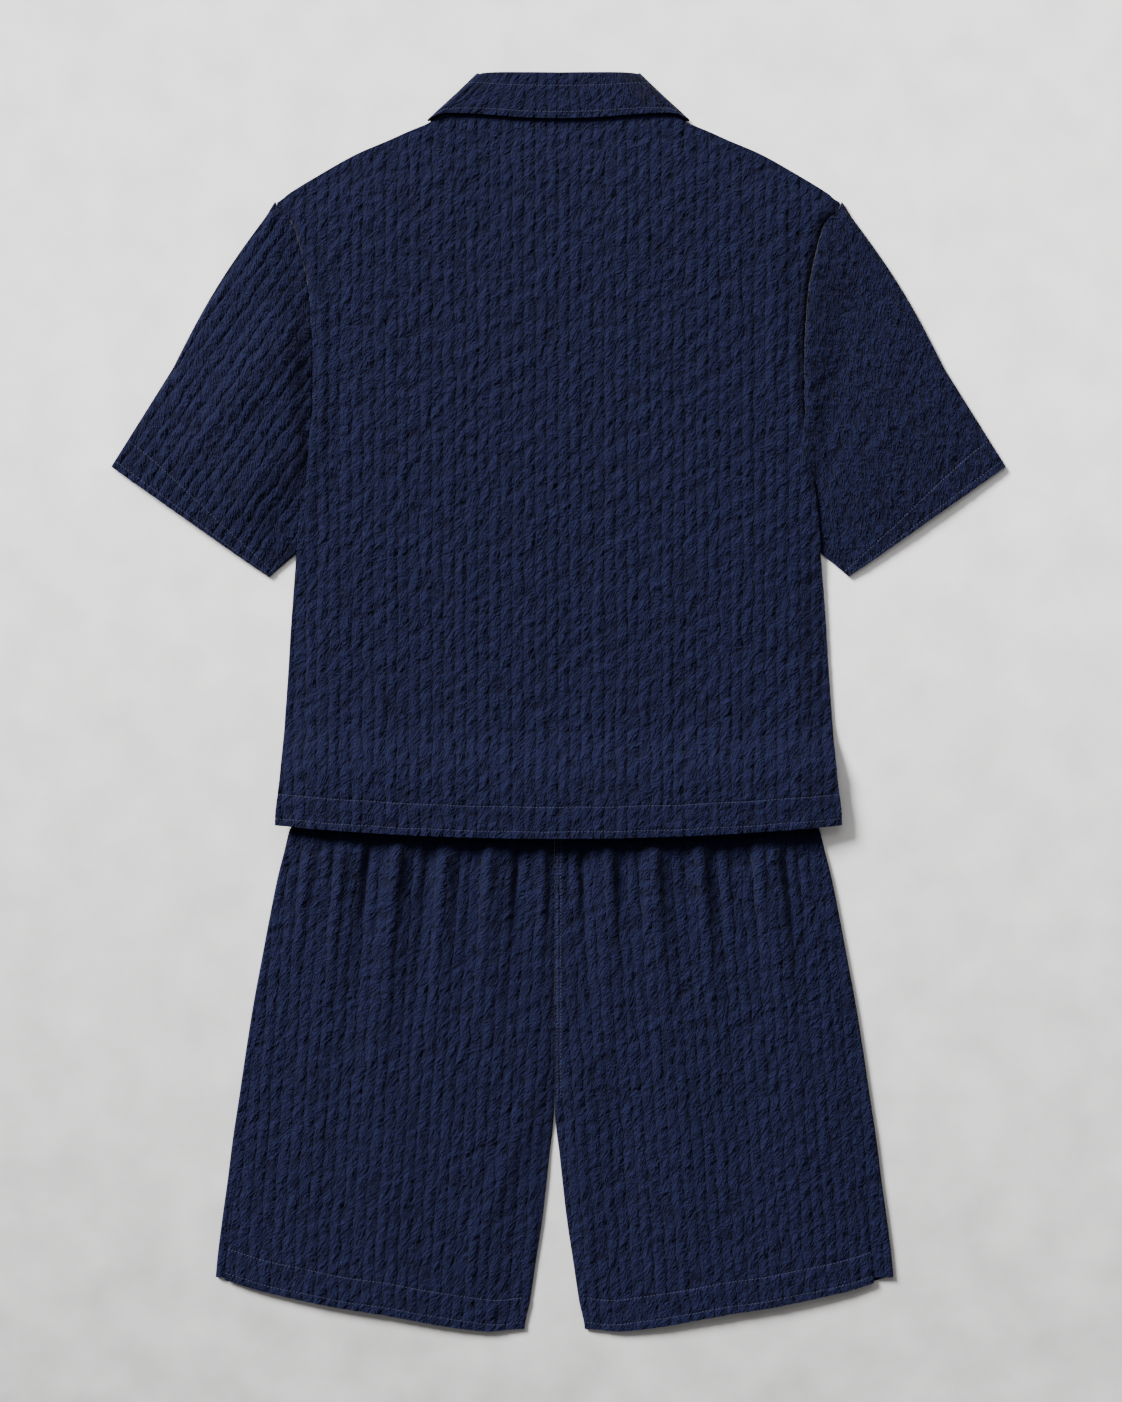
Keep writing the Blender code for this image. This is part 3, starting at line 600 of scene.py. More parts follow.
@dataclass(frozen=True)
class Board(Finish):
    """Matt painted board under the set: pale, with the slightest mottle and painted light fall-off,
    lighter to the north.
    """

    name: str = "matt_painted_board"
    dark: str = "#868483"
    light: str = "#f4f2f1"
    roughness: float = 0.95
    mottle_scale: float = 18.0
    mottle: float = 0.42
    south: float = -0.8
    north: float = 0.3
    north_painted_light: float = 0.64

    def material(self) -> Material:
        """Builds the floor's material.

        Returns:
            The material.
        """
        made, tree = self.start()
        place = add_node(tree, "ShaderNodeTexCoord").outputs["Object"]
        mottle = add_node(tree, NOISE, {"Vector": place, "Scale": self.mottle_scale, "Detail": 3.0})
        way = add_node(tree, "ShaderNodeSeparateXYZ", (place,)).outputs[1]
        # Painted light fall-off: the colour grows lighter from the south end to the north end.
        fade = add_node(tree, RANGE, (way, self.south, self.north, 0.0, self.north_painted_light))
        tone = add_node(tree, MATH, (mottle, self.mottle, fade), operation="MULTIPLY_ADD")
        return self.close(made, tone, {"Specular IOR Level": 0.1})


class NodeTool:
    """A Geometry Nodes tree with named inputs, laid on objects one at a time."""

    def __init__(self, name: str, inputs: dict[str, str]) -> None:
        """Makes the tree with its geometry sockets and its named inputs.

        Args:
            name: The tree's name.
            inputs: The socket type of each named input; a material comes last.
        """
        self.tree = bpy.data.node_groups.new(name, "GeometryNodeTree")
        face = self.tree.interface
        for way in ("INPUT", "OUTPUT"):
            face.new_socket("Geometry", in_out=way, socket_type="NodeSocketGeometry")
        inputs = {**inputs, "Material": "NodeSocketMaterial"}
        self.keys = {title: face.new_socket(title, in_out="INPUT", socket_type=kind).identifier
                     for title, kind in inputs.items()}
        self.source = add_node(self.tree, "NodeGroupInput").outputs

    def close(self, shape: Node) -> None:
        """Ends the tree with realized instances and the material.

        Args:
            shape: The node whose geometry is dressed.
        """
        real = add_node(self.tree, "GeometryNodeRealizeInstances", {"Geometry": shape})
        dressed = add_node(self.tree, "GeometryNodeSetMaterial",
                           {"Geometry": real, "Material": self.source["Material"]})
        add_node(self.tree, "NodeGroupOutput", (dressed,))

    def apply(self, piece: Object, **values: object) -> None:
        """Runs the tree on an object and keeps the result as its plain mesh.

        Args:
            piece: The object, whose mesh is replaced.
            values: The named inputs, in lower case.
        """
        modifier = piece.modifiers.new(self.tree.name, "NODES")
        modifier.node_group = self.tree
        for title, value in values.items():
            modifier[self.keys[title.title()]] = value
        graph = bpy.context.evaluated_depsgraph_get()
        made = bpy.data.meshes.new_from_object(piece.evaluated_get(graph),
                                               preserve_all_data_layers=True, depsgraph=graph)
        piece.modifiers.clear()
        old, piece.data = piece.data, made
        bpy.data.meshes.remove(old)
        made.name = piece.name


class PuckerTool(NodeTool):
    """Raises the seersucker's puckers along the normals of a piece of cloth."""

    SHARPNESS = 0.85

    def __init__(self) -> None:
        """Builds the tree."""
        sizes = ("Spacing", "Length", "Height", "Base", "Seed")
        super().__init__("seersucker_puckers", dict.fromkeys(sizes, "NodeSocketFloat"))
        tree, source = self.tree, self.source
        cloth = add_node(tree, "GeometryNodeInputNamedAttribute", {"Name": "cloth"},
                         data_type="FLOAT_VECTOR")
        across, along, share = add_node(tree, "ShaderNodeSeparateXYZ", (cloth,)).outputs
        relief = PUCKERS.relief(tree, across, along, source["Spacing"], source["Length"],
                                source["Seed"], self.SHARPNESS)
        raised = add_node(tree, MATH, (relief, source["Base"]), operation="ADD")
        for factor in (source["Height"], share, MM):
            raised = add_node(tree, MATH, (raised, factor), operation="MULTIPLY")
        normal = add_node(tree, "GeometryNodeInputNormal")
        offset = add_node(tree, "ShaderNodeVectorMath", {0: normal, "Scale": raised}, operation="SCALE")
        self.close(add_node(tree, "GeometryNodeSetPosition",
                            {"Geometry": source["Geometry"], "Offset": offset}))


class StitchTool(NodeTool):
    """Lays thread stitches along the paths of a mesh made of edges."""

    SHORTEST = 0.85
    LONGEST = 1.1

    def __init__(self) -> None:
        """Builds the tree."""
        sizes = ("Pitch", "Length", "Thickness")
        super().__init__("thread_stitches", {**dict.fromkeys(sizes, "NodeSocketFloat"),
                                             "Seed": "NodeSocketInt"})
        tree, source = self.tree, self.source
        path = add_node(tree, "GeometryNodeMeshToCurve", (source["Geometry"],))
        stops = add_node(tree, "GeometryNodeCurveToPoints", {"Curve": path, "Length": source["Pitch"]},
                         mode="LENGTH").outputs
        bead = add_node(tree, "GeometryNodeMeshUVSphere", {"Segments": 6, "Rings": 4, "Radius": 0.5})
        turn = add_node(tree, "FunctionNodeAlignRotationToVector", {"Vector": stops["Tangent"]},
                        axis="X")
        stray = add_node(tree, "FunctionNodeRandomValue",
                         {2: self.SHORTEST, 3: self.LONGEST, "Seed": source["Seed"]},
                         data_type="FLOAT").outputs[1]
        long = add_node(tree, MATH, (source["Length"], stray), operation="MULTIPLY")
        size = add_node(tree, XYZ, (long, source["Thickness"], source["Thickness"]))
        self.close(add_node(tree, "GeometryNodeInstanceOnPoints",
                            {"Points": stops["Points"], "Instance": bead, "Rotation": turn,
                             "Scale": size}))


def stand(name: str, data: bpy.types.ID) -> Object:
    """Adds an object to the scene, at the origin.

    Args:
        name: The object's name.
        data: Its mesh, light or camera.

    Returns:
        The object.
    """
    thing = bpy.data.objects.new(name, data)
    bpy.context.scene.collection.objects.link(thing)
    return thing


@dataclass
class Workshop:
    """The tools and materials that every piece is dressed with."""

    puckers: PuckerTool
    stitches: StitchTool
    cotton: Material
    thread: Material
    resin: Material

    def dress(self, piece: Object) -> Object:
        """Rides a finished piece on the set's one body.

        Args:
            piece: The piece.

        Returns:
            The piece.
        """
        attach(piece, "root")
        LOG.info("%s: %d faces", piece.name, len(piece.data.polygons))
        return piece

    def stitch(self, name: str, paths: tuple[list, list], sizes: tuple[float, float, float],
               seed: int) -> Object:
        """Lays stitches along paths.

        Args:
            name: The piece's name.
            paths: The paths' points, in metres, and edges.
            sizes: The stitches' pitch, length and thickness, in millimetres.
            seed: Picks which stitches are short or long.

        Returns:
            The stitches as one object.
        """
        mesh = bpy.data.meshes.new(name)
        mesh.from_pydata(*paths, [])
        piece = stand(name, mesh)
        pitch, length, thickness = (size * MM for size in sizes)
        self.stitches.apply(piece, pitch=pitch, length=length, thickness=thickness, seed=seed,
                            material=self.thread)
        return self.dress(piece)


@dataclass(frozen=True)
class Cut:
    """How a piece is cut, flat and in metres, and how it is held."""

    flat: tuple[float, float]
    area: float
    held: str = "laid"


@dataclass
class Cloth:
    """One cut piece of cloth: a closed thin wall over a grid.

    form holds the points of the solid's inner side in millimetres, relief the height over its
    plain outer side, grain the millimetres across and along the stripes, and pucker the share of
    the full pucker at each point. The inner side keeps one grid line in each step of stride.
    """

    node: str
    form: Array
    relief: Array
    grain: Array
    pucker: Array
    stride: tuple[int, int]
    ring: bool = False
    flip: bool = False
    wall: float = WALL
    shell: float = SHELL

    def underside(self) -> Array:
        """Relief of the inner side, which keeps clear of the outer side's grooves.

        Returns:
            The lowest relief within a step of the coarser grid.
        """
        low = self.relief
        for axis, step in enumerate(self.stride):
            margin = [(0, 0), (0, 0)]
            margin[axis] = (step, step)
            wide = np.pad(low, margin, mode="wrap" if self.ring and axis == 0 else "edge")
            low = sliding_window_view(wide, 2 * step + 1, axis=axis).min(axis=-1)
        return low

    def normals(self) -> Array:
        """Normals of the form.

        Returns:
            Unit vectors that point to the outer side.
        """
        if self.ring:
            across = np.roll(self.form, -1, axis=0) - np.roll(self.form, 1, axis=0)
        else:
            across = np.gradient(self.form, axis=0)
        normal = np.cross(across, np.gradient(self.form, axis=1))
        length = np.linalg.norm(normal, axis=2, keepdims=True)
        return normal / np.maximum(length, 1e-9) * (-1.0 if self.flip else 1.0)

    def faces(self, top: Array, under: Array, columns: list[int], rows: list[int]) -> list[list[int]]:
        """The wall's faces: fine outer side, coarse inner side and closed edges.

        Args:
            top: Point numbers of the outer side's grid.
            under: Point numbers of the inner side's grid.
            columns: Grid lines across that the inner side keeps.
            rows: Grid lines along that the inner side keeps.

        Returns:
            The point numbers of each face.
        """
        faces = quads(top)
        faces += [face[::-1] for face in quads(under[np.ix_(columns, rows)])]
        for start, end in zip(columns, columns[1:]):
            faces.append([*top[start:end + 1, 0][::-1], under[start, 0], under[end, 0]])
            faces.append([*top[start:end + 1, -1], under[end, -1], under[start, -1]])
        if not self.ring:
            for start, end in zip(rows, rows[1:]):
                faces.append([*top[-1, start:end + 1][::-1], under[-1, start], under[-1, end]])
                faces.append([*top[0, start:end + 1], under[0, end], under[0, start]])
        return [face[::-1] for face in faces] if self.flip else faces

    def mesh(self) -> Mesh:
        """Builds the wall.

        Returns:
            The mesh, in metres.
        """
        normal = self.normals()
        outer = self.form + normal * (self.wall + self.relief)[..., None]
        inner = self.form + normal * (self.wall - self.shell + self.underside())[..., None]
        across, along = outer.shape[:2]
        last = across if self.ring else across - 1
        columns = sorted({*range(0, last, self.stride[0]), last})
        rows = sorted({*range(0, along - 1, self.stride[1]), along - 1})
        top = np.arange(across * along).reshape(across, along)
        under = top + across * along
        if self.ring:
            top, under = (np.vstack([part, part[:1]]) for part in (top, under))
        faces = self.faces(top, under, columns, rows)
        used = np.unique(np.concatenate([np.asarray(face) for face in faces]))
        place = np.zeros(2 * across * along, int)
        place[used] = np.arange(len(used))
        spots = np.concatenate([outer.reshape(-1, 3), inner.reshape(-1, 3)])[used] * MM
        weight = np.concatenate([self.pucker.reshape(-1), np.zeros(across * along)])[used]
        grain = np.concatenate([self.grain.reshape(-1, 2)] * 2)[used]
        mesh = bpy.data.meshes.new(f"{self.node}_cloth")
        mesh.from_pydata(spots.tolist(), [], [[int(place[index]) for index in face] for face in faces])
        cloth = mesh.attributes.new("cloth", "FLOAT_VECTOR", "POINT")
        cloth.data.foreach_set("vector", np.column_stack([grain, weight]).astype(np.float32).ravel())
        mesh.update()
        return mesh

    def build(self, shop: Workshop, cut: Cut, rests_on: list, seed: float, height: float = 1.1,
              base: float = 0.0, slot: Slot = Slot.CLOTH) -> Object:
        """Makes the piece, raises its puckers and lets it stand for its solid.

        Args:
            shop: Tools and materials.
            cut: The piece's flat size; not used.
            rests_on: What the piece lies on; not used.
            seed: Shifts the puckers, so that no two pieces match.
            height: Height of a full pucker.
            base: Added to the relief before it is scaled; -1 sinks the puckers into the wall.
            slot: The record's slot for the piece; not used.

        Returns:
            The finished object.
        """
        mesh = self.mesh()
        piece = stand(mesh.name, mesh)
        shop.puckers.apply(piece, spacing=PUCKERS.spacing, length=PUCKERS.length, height=height,
                           base=base, seed=seed, material=shop.cotton)
        piece.data.shade_smooth()
        piece.data.set_sharp_from_angle(angle=SMOOTH_ANGLE)
        shop.dress(piece)
        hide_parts(self.node)
        return piece


@dataclass
class Sewing:
    """Rows of stitches on one or more finished pieces; sizes are pitch, length and thickness."""

    name: str
    rows: list[Array]
    sizes: tuple[float, float, float] = (3.3, 2.5, 0.5)

    def build(self, shop: Workshop, *cloth: Object) -> None:
        """Drops the rows onto the cloth from above and lays the stitches.

        Args:
            shop: Tools and materials.
            cloth: The pieces that the rows may lie on.
        """
        bpy.context.view_layer.update()
        spots, edges = [], []
        for row in self.rows:
            start = None
            for x, y in row * MM:
                hits = [piece.ray_cast(Vector((x, y, 0.1)), Vector((0, 0, -1))) for piece in cloth]
                heights = [at.z for hit, at, _, _ in hits if hit]
                if heights:
                    spots.append((x, y, max(heights)))
                    if start is not None:
                        edges.append((start, len(spots) - 1))
                start = len(spots) - 1 if heights else None
        piece = shop.stitch(self.name, (spots, edges), self.sizes, len(self.rows))
        piece.data.shade_smooth()


def line(start: tuple[float, float], end: tuple[float, float], step: float = 2.0,
         wave: float = 0.35) -> Array:
    """A slightly wavering row between two points.

    Args:
        start: The first point, in millimetres.
        end: The last point.
        step: Distance between the row's points.
        wave: How far the row strays from straight.

    Returns:
        The row's points.
    """
    reach = math.dist(start, end)
    at = np.linspace(0.0, reach, max(int(reach / step), 2))
    x, y = (np.interp(at, (0.0, reach), pair) for pair in zip(start, end))
    return points(x, y + wave * np.sin(at / 17.0) * np.cos(at / 7.3))


@dataclass
class ShirtBody:
    """The shirt's back and its two fronts."""

    hem_side: float = -123.5
    hem_drop: float = 13.0
    half_hem: float = 283.0
    shoulder: float = 500.0
    stretch_start: float = 290.0
    shoulder_step: float = 0.72
    curve_start: float = 45.0
    curve_fade: float = 140.0
    back_crown: float = 5.2
    crown_reach: float = 42.0
    broad_crown: float = 3.0
    hem_lift: float = 11.0
    neck_half: float = 114.0
    neck_top: float = 588.0
    neck_height: float = 1.95
    front_neck: float = 470.0
    front_neck_curve: float = 0.9
    placket_half: float = 12.5
    placket_lift: tuple[float, float] = (2.8, 4.75)
    leaf_lift: float = 1.9
    front_shorter: float = 3.0
    armhole_band: float = 2.0
    armhole_groove: float = 1.5
    back_cut: Cut = Cut((0.566, 0.725), 0.392)
    front_cut: Cut = Cut((0.296, 0.722), 0.182)

    def hem(self, x: Array) -> Array:
        """Y of the hem, lowest at the centre."""
        return self.hem_side - self.hem_drop * (1.0 - (x / self.half_hem) ** 2)

    def lift(self, y: Array) -> Array:
        """How far the shirt rises where its hem lies over the waist of the shorts."""
        return self.hem_lift * ease(y, -18.0, -72.0)

    def body_y(self, row: Array, x: Array, top: Array) -> Array:
        """Stretches the grid's rows towards the hem line and the top line.

        Args:
            row: The plain rows.
            x: X of the points.
            top: Y of the upper line there.

        Returns:
            Y of the points.
        """
        reach = ease(row, self.stretch_start, self.shoulder)
        above = row - self.hem_side - self.curve_start
        to_hem = 1.0 - np.clip(above / self.curve_fade, 0.0, 1.0)
        return row + (top - self.shoulder) * reach + (self.hem(x) - self.hem_side) * to_hem

    def back_top(self, x: Array) -> Array:
        """Y of the back's upper line."""
        reach = np.abs(x)
        return np.where(reach < self.neck_half, self.neck_top, SHOULDER.read("y", reach))

    def front_top(self, x: Array) -> Array:
        """A front's upper line: the shoulder, then the open neckline.

        Args:
            x: X of the points.

        Returns:
            Y of the line.
        """
        reach = np.abs(x)
        share = np.clip((reach - self.placket_half) / (self.neck_half - self.placket_half), 0.0, 1.0)
        neck = self.front_neck + (self.neck_top - self.front_neck) * share ** self.front_neck_curve
        return np.where(reach < self.neck_half, neck, SHOULDER.read("y", reach))

    def rows(self, step: float) -> Array:
        """The grid's rows from hem to shoulder, closer where they are stretched.

        Args:
            step: Usual distance between rows.

        Returns:
            The rows.
        """
        lines = (self.hem_side + EDGE_LINE, self.hem_side + HEM_DEPTH)
        lower = spaced(self.hem_side, self.stretch_start, step, lines)
        upper = spaced(self.stretch_start, self.shoulder, self.shoulder_step * step)
        return np.concatenate([lower, upper[1:]])

    def back(self) -> Cloth:
        """The back, from hem to neck and shoulders.

        Returns:
            The piece of cloth.
        """
        u, row = np.meshgrid(np.linspace(-1.0, 1.0, 229), self.rows(FINE_STEP), indexing="ij")
        half = BODY.read("back_half", row)
        x = u * half
        top = self.back_top(x)
        y = self.body_y(row, x, top)
        from_edge, from_top = half - np.abs(x), top - y
        neck = self.neck_height * ease(np.abs(x), 225.0, 172.0) * ease(from_top, 60.0, 0.0)
        rise = ease(from_edge, -4.0, self.crown_reach) * ease(from_top, -2.0, 60.0)
        edge = BODY.read("back_rise", row) * ease(from_edge, 90.0, 0.0)
        base = FIRST_LAYER + np.maximum(edge, neck)
        crown = FIRST_LAYER + self.back_crown
        z = self.lift(row) + base + np.maximum(crown - base, 0.0) * rise
        relief, pucker = hem_form(y - self.hem(x))
        inside = ease(from_edge, 0.0, 30.0) * ease(from_top, 8.0, 40.0)
        relief = relief + crease_height(BACK_CREASES, x, y) * (0.35 + 0.65 * inside)
        relief = relief + self.broad_crown * (1.0 - (x / half) ** 2) * ease(from_top, 0.0, 120.0)
        seam = self.armhole_band * bell(from_edge, 9.0, 6.0)
        seam = seam - self.armhole_groove * bell(from_edge, 0.0, 2.2)
        armhole = ease(y, 120.0, 260.0)
        relief = relief + seam * armhole * ease(from_top, 0.0, 12.0)
        pucker = pucker * (1.0 - 0.75 * armhole * ease(from_edge, 12.0, 5.0))
        pucker = pucker * ease(from_top, 1.0, 12.0) * (0.5 + 0.5 * ease(from_edge, 0.0, 4.0))
        return Cloth("shirt_back", points(x, y, z), relief, points(x, y), pucker, (5, 5))

    def front(self, side: Side) -> Cloth:
        """One front, from its side seam to the placket.

        Args:
            side: Which front.

        Returns:
            The piece of cloth.
        """
        sign = side.value
        lift = self.placket_lift[0 if side is Side.LEFT else 1]
        u, row = np.meshgrid(np.linspace(0.0, 1.0, 76), self.rows(COARSE_STEP), indexing="ij")
        half = BODY.read("front_half", row)
        x = -sign * self.placket_half + sign * (half + self.placket_half) * u ** 1.15
        y = self.body_y(row, x, self.front_top(x)) + self.front_shorter * ease(row, -60.0, self.hem_side)
        closed = ease(sign * x, 62.0, 24.0)
        placket = lift * closed
        leaf = self.leaf_lift * ease(np.abs(x), 178.0, 142.0) * ease(y, 345.0, 385.0)
        creases = crease_height(FRONT_CREASES, x, y) * (1.0 - closed)
        z = self.lift(row) + np.maximum(placket, leaf) + creases
        _, pucker = hem_form(y - self.hem(x) - self.front_shorter)
        return Cloth(f"shirt_front_{side.word}", points(x, y, z + WALL), np.zeros_like(x), points(x, y),
                     pucker * ease(u, 0.0, 0.01), (1, 1), flip=sign > 0.0)

    def build(self, shop: Workshop) -> Object:
        """Builds the back and the fronts.

        Args:
            shop: Tools and materials.

        Returns:
            The back.
        """
        fronts = [self.front(side).build(shop, self.front_cut, ["floor"], 40.0 + side.value, **UNDER)
                  for side in Side]
        back = self.back().build(shop, self.back_cut, fronts, 3.0)
        across = np.linspace(-self.half_hem + 2.0, self.half_hem - 2.0, 220)
        rows = [points(across, self.hem(across) + depth + 0.3 * np.sin(across / 11.0))
                for depth in (HEM_DEPTH, EDGE_LINE)]
        Sewing("shirt_hem_stitches", rows).build(shop, back)
        return back


@dataclass
class Sleeve:
    """One short sleeve: a flattened tube with a turned cuff, closed at its underarm seam."""

    side: Side
    body: ShirtBody
    gap: float = 1.1
    length: float = 312.0
    bulge: float = 6.0
    fold_height: float = 2.3
    fold_drop: float = 0.4
    outward: tuple[float, float] = (0.82, 0.57)
    cuff_outer: tuple[float, float] = (449.2, 236.3)
    tuck: float = 0.9
    head_fade: float = 0.06
    head_rise: float = 8.5
    head_groove: float = 1.1
    crease_span: float = 240.0
    under_pucker: float = -0.3
    middle_rise: float = 3.0
    cut: Cut = Cut((0.43, 0.312), 0.0835)

    @property
    def cuff_inner(self) -> tuple[float, float]:
        """Where the cuff's inner end lies, for the right side; mirrored for the left."""
        return (290.5, 124.5) if self.side is Side.LEFT else (291.6, 125.1)

    def point(self, share: Array, along: Array) -> tuple[Array, Array]:
        """X and Y of the inner side at shares across and along the sleeve.

        Args:
            share: From the outer fold to the underarm.
            along: From the armhole to the cuff.

        Returns:
            X and Y on the right side.
        """
        seam_y = ARMHOLE.read("y", share)
        seam_x = BODY.read("front_half", seam_y)
        head_x = seam_x + self.gap
        head_y = self.body.body_y(seam_y, seam_x, self.body.back_top(seam_x))
        cuff_x = self.cuff_outer[0] + (self.cuff_inner[0] - self.cuff_outer[0]) * share
        cuff_y = self.cuff_outer[1] + (self.cuff_inner[1] - self.cuff_outer[1]) * share
        bulge = self.bulge * (1.0 - share) ** 3 * np.sin(np.pi * np.clip(along * 1.6, 0.0, 1.0))
        push = bulge - WALL * (1.0 - 2.0 * share) * ease(along, 0.0, self.head_fade)
        x = head_x + (cuff_x - head_x) * along + push * self.outward[0]
        x = x - self.tuck * ease(share, 0.8, 1.0) * along
        return x, head_y + (cuff_y - head_y) * along + push * self.outward[1]

    def cloth(self) -> Cloth:
        """The sleeve's tube.

        Returns:
            The piece of cloth.
        """
        lower = np.linspace(1.0, 0.0, 50, endpoint=False)
        upper = np.linspace(0.0, 1.0, 136)
        turn = np.concatenate([lower, upper])
        is_upper = np.concatenate([np.zeros(len(lower), bool), np.ones(len(upper), bool)])
        lines = (self.length - HEM_DEPTH, self.length - EDGE_LINE)
        turn, depth = np.meshgrid(turn, spaced(0.0, self.length, FINE_STEP, lines), indexing="ij")
        on_top = np.broadcast_to(is_upper[:, None], turn.shape)
        share = turn - 0.5 * np.sin(2.0 * np.pi * turn) / (2.0 * np.pi)
        along = depth / self.length
        x, y = self.point(share, along)
        loft = 1.9 + 1.7 * ease(along, 0.05, 0.5) - 0.4 * ease(along, 0.6, 1.0)
        top_z = self.fold_height - self.fold_drop * ease(share, 0.0, 0.1) + loft * arch(share)
        low_z = WALL + (self.fold_height - WALL) * ease(share, 0.03, 0.0)
        hem, pucker = hem_form(self.length - depth)
        creases = crease_height(SLEEVE_CREASES, share * self.crease_span, depth)
        rise = ease(depth, 0.0, 66.0) if self.side is Side.LEFT else 1.0 - ease(depth, 8.0, 76.0)
        rise = self.head_rise * rise * (1.0 - 0.8 * ease(depth, 170.0, self.length)) - 0.8
        rise = rise + self.middle_rise * arch(share, 1.5) * arch(along, 1.0)
        rise = rise - self.head_groove * bell(depth, 0.0, 2.8)
        relief = (hem + (creases + rise) * arch(share, 0.8)) * on_top * ease(share, 0.0, 0.03)
        sign = self.side.value
        away = (self.cuff_inner[0] - self.cuff_outer[0], self.cuff_inner[1] - self.cuff_outer[1])
        width = math.hypot(*away)
        across = (x * away[0] + y * away[1]) / width
        down = (-x * away[1] + y * away[0]) / width
        grain = points(np.where(on_top, across, -across), down)
        weight = pucker * np.where(on_top, ease(share, 0.0, 0.02) * ease(share, 1.0, 0.9),
                                   self.under_pucker)
        form = points(sign * x, y, np.where(on_top, top_z, low_z))
        return Cloth(f"sleeve_{self.side.word}", form, relief, grain, weight, (2, 3), ring=True,
                     flip=sign < 0.0)

    def build(self, shop: Workshop) -> None:
        """Builds the sleeve with its cuff stitches.

        Args:
            shop: Tools and materials.
        """
        sign = self.side.value
        piece = self.cloth().build(shop, self.cut, ["floor"], 10.0 + 4.0 * sign)
        share = np.linspace(0.02, 0.99, 120)
        rows = []
        for depth in (HEM_DEPTH, EDGE_LINE):
            x, y = self.point(share, np.full_like(share, 1.0 - depth / self.length))
            rows.append(points(sign * x, y))
        Sewing(f"cuff_{self.side.word}_stitches", rows).build(shop, piece)


@dataclass
class Collar:
    """The one-piece camp collar: a stand that turns over into a fall."""

    wall: float = 1.3
    fold_radius: float = 1.4
    stand_turn: tuple[float, float] = (-0.69, -0.72)
    fall_rise: float = 2.4
    fold_line: float = 12.5
    cut: Cut = Cut((0.5, 0.128), 0.0485, "folded")

    def lines(self, way: Array) -> tuple[Array, ...]:
        """The collar's lines on the right side.

        Args:
            way: Stations from the centre back.

        Returns:
            Points of the seam, the fold and the edge.
        """
        x, y = ([COLLAR.read(f"{name}_{axis}", np.abs(way)) for name in ("seam", "fold", "edge")]
                for axis in "xy")
        return tuple(points(*pair) for pair in zip(x, y))

    def cloth(self) -> Cloth:
        """The collar's wall, from its seam over the fold to the edge of the fall.

        Returns:
            The piece of cloth.
        """
        last = len(COLLAR.keys) - 1
        stand = np.linspace(0.0, 1.0, 13, endpoint=False)
        turn = 1.0 + np.linspace(0.0, 1.0, 9, endpoint=False)
        fall = 2.0 + np.linspace(0.0, 1.0, 24)
        way, part = np.meshgrid(np.linspace(-last, last, 301), np.concatenate([stand, turn, fall]),
                                indexing="ij")
        seam, fold, edge = self.lines(way)
        stand_z, fall_z, inset = (COLLAR.read(name, np.abs(way))
                                  for name in ("stand_z", "fall_z", "inset"))
        inward = np.array(self.stand_turn) * inset[..., None]
        down_stand = (seam - fold) / np.linalg.norm(seam - fold, axis=-1, keepdims=True)
        down_fall = (edge - fold) / np.linalg.norm(edge - fold, axis=-1, keepdims=True)
        low = fold + down_stand * self.fold_radius + inward
        high = fold + down_fall * self.fold_radius
        tip = fold + 0.5 * inward
        on_stand = np.clip(part, 0.0, 1.0)[..., None]
        angle = np.pi * np.clip(part - 1.0, 0.0, 1.0)[..., None]
        on_fall = np.clip(part - 2.0, 0.0, 1.0)[..., None]
        blend = 0.5 - 0.5 * np.cos(angle)
        rounded = low + (high - low) * blend + (tip - 0.5 * (low + high)) * np.sin(angle)
        flat = np.where(part[..., None] < 1.0, (seam + inward) * (1.0 - on_stand) + low * on_stand,
                        np.where(part[..., None] < 2.0, rounded, high * (1.0 - on_fall) + edge * on_fall))
        z = stand_z + (fall_z - stand_z) * blend[..., 0]
        z = z + self.fall_rise * on_fall[..., 0] * ease(np.abs(way), 4.6, 3.4)
        sign = np.where(way >= 0.0, 1.0, -1.0)
        form = points(sign * flat[..., 0], flat[..., 1], z)
        drop = np.linalg.norm(flat - edge, axis=-1)
        below_fold = np.linalg.norm(flat - fold, axis=-1)
        on_back = ease(np.abs(way), 4.6, 3.6)
        shown = ease(part, 1.4, 2.1) * on_back
        lines = bell(drop, EDGE_LINE, GROOVE_HALF) + bell(below_fold, self.fold_line, GROOVE_HALF)
        relief = -0.3 * lines * shown
        relief = relief + 0.45 * shown * ease(drop, 2.0, 14.0) * ease(below_fold, 0.0, 12.0)
        weight = 0.8 * shown * (1.0 - 0.6 * np.minimum(lines, 1.0)) * ease(drop, 0.0, 2.5)
        grain = points(sign * seam[..., 0], flat[..., 1])
        return Cloth("collar", form, relief, grain, weight, (2, 1), flip=True, wall=self.wall,
                     shell=self.wall)

    def build(self, shop: Workshop, back: Object) -> None:
        """Builds the collar with its two stitch rows.

        Args:
            shop: Tools and materials.
            back: The shirt's back, which carries the collar.
        """
        piece = self.cloth().build(shop, self.cut, [back], 21.0, height=0.7)
        way = np.linspace(-4.3, 4.3, 150)
        _, fold, edge = self.lines(way)
        rows = []
        for start, end, depth in ((fold, edge, self.fold_line), (edge, fold, EDGE_LINE)):
            row = start + (end - start) / np.linalg.norm(end - start, axis=1, keepdims=True) * depth
            rows.append(points(np.sign(way) * row[:, 0], row[:, 1]))
        Sewing("collar_stitches", rows, (3.0, 2.4, 0.5)).build(shop, piece)


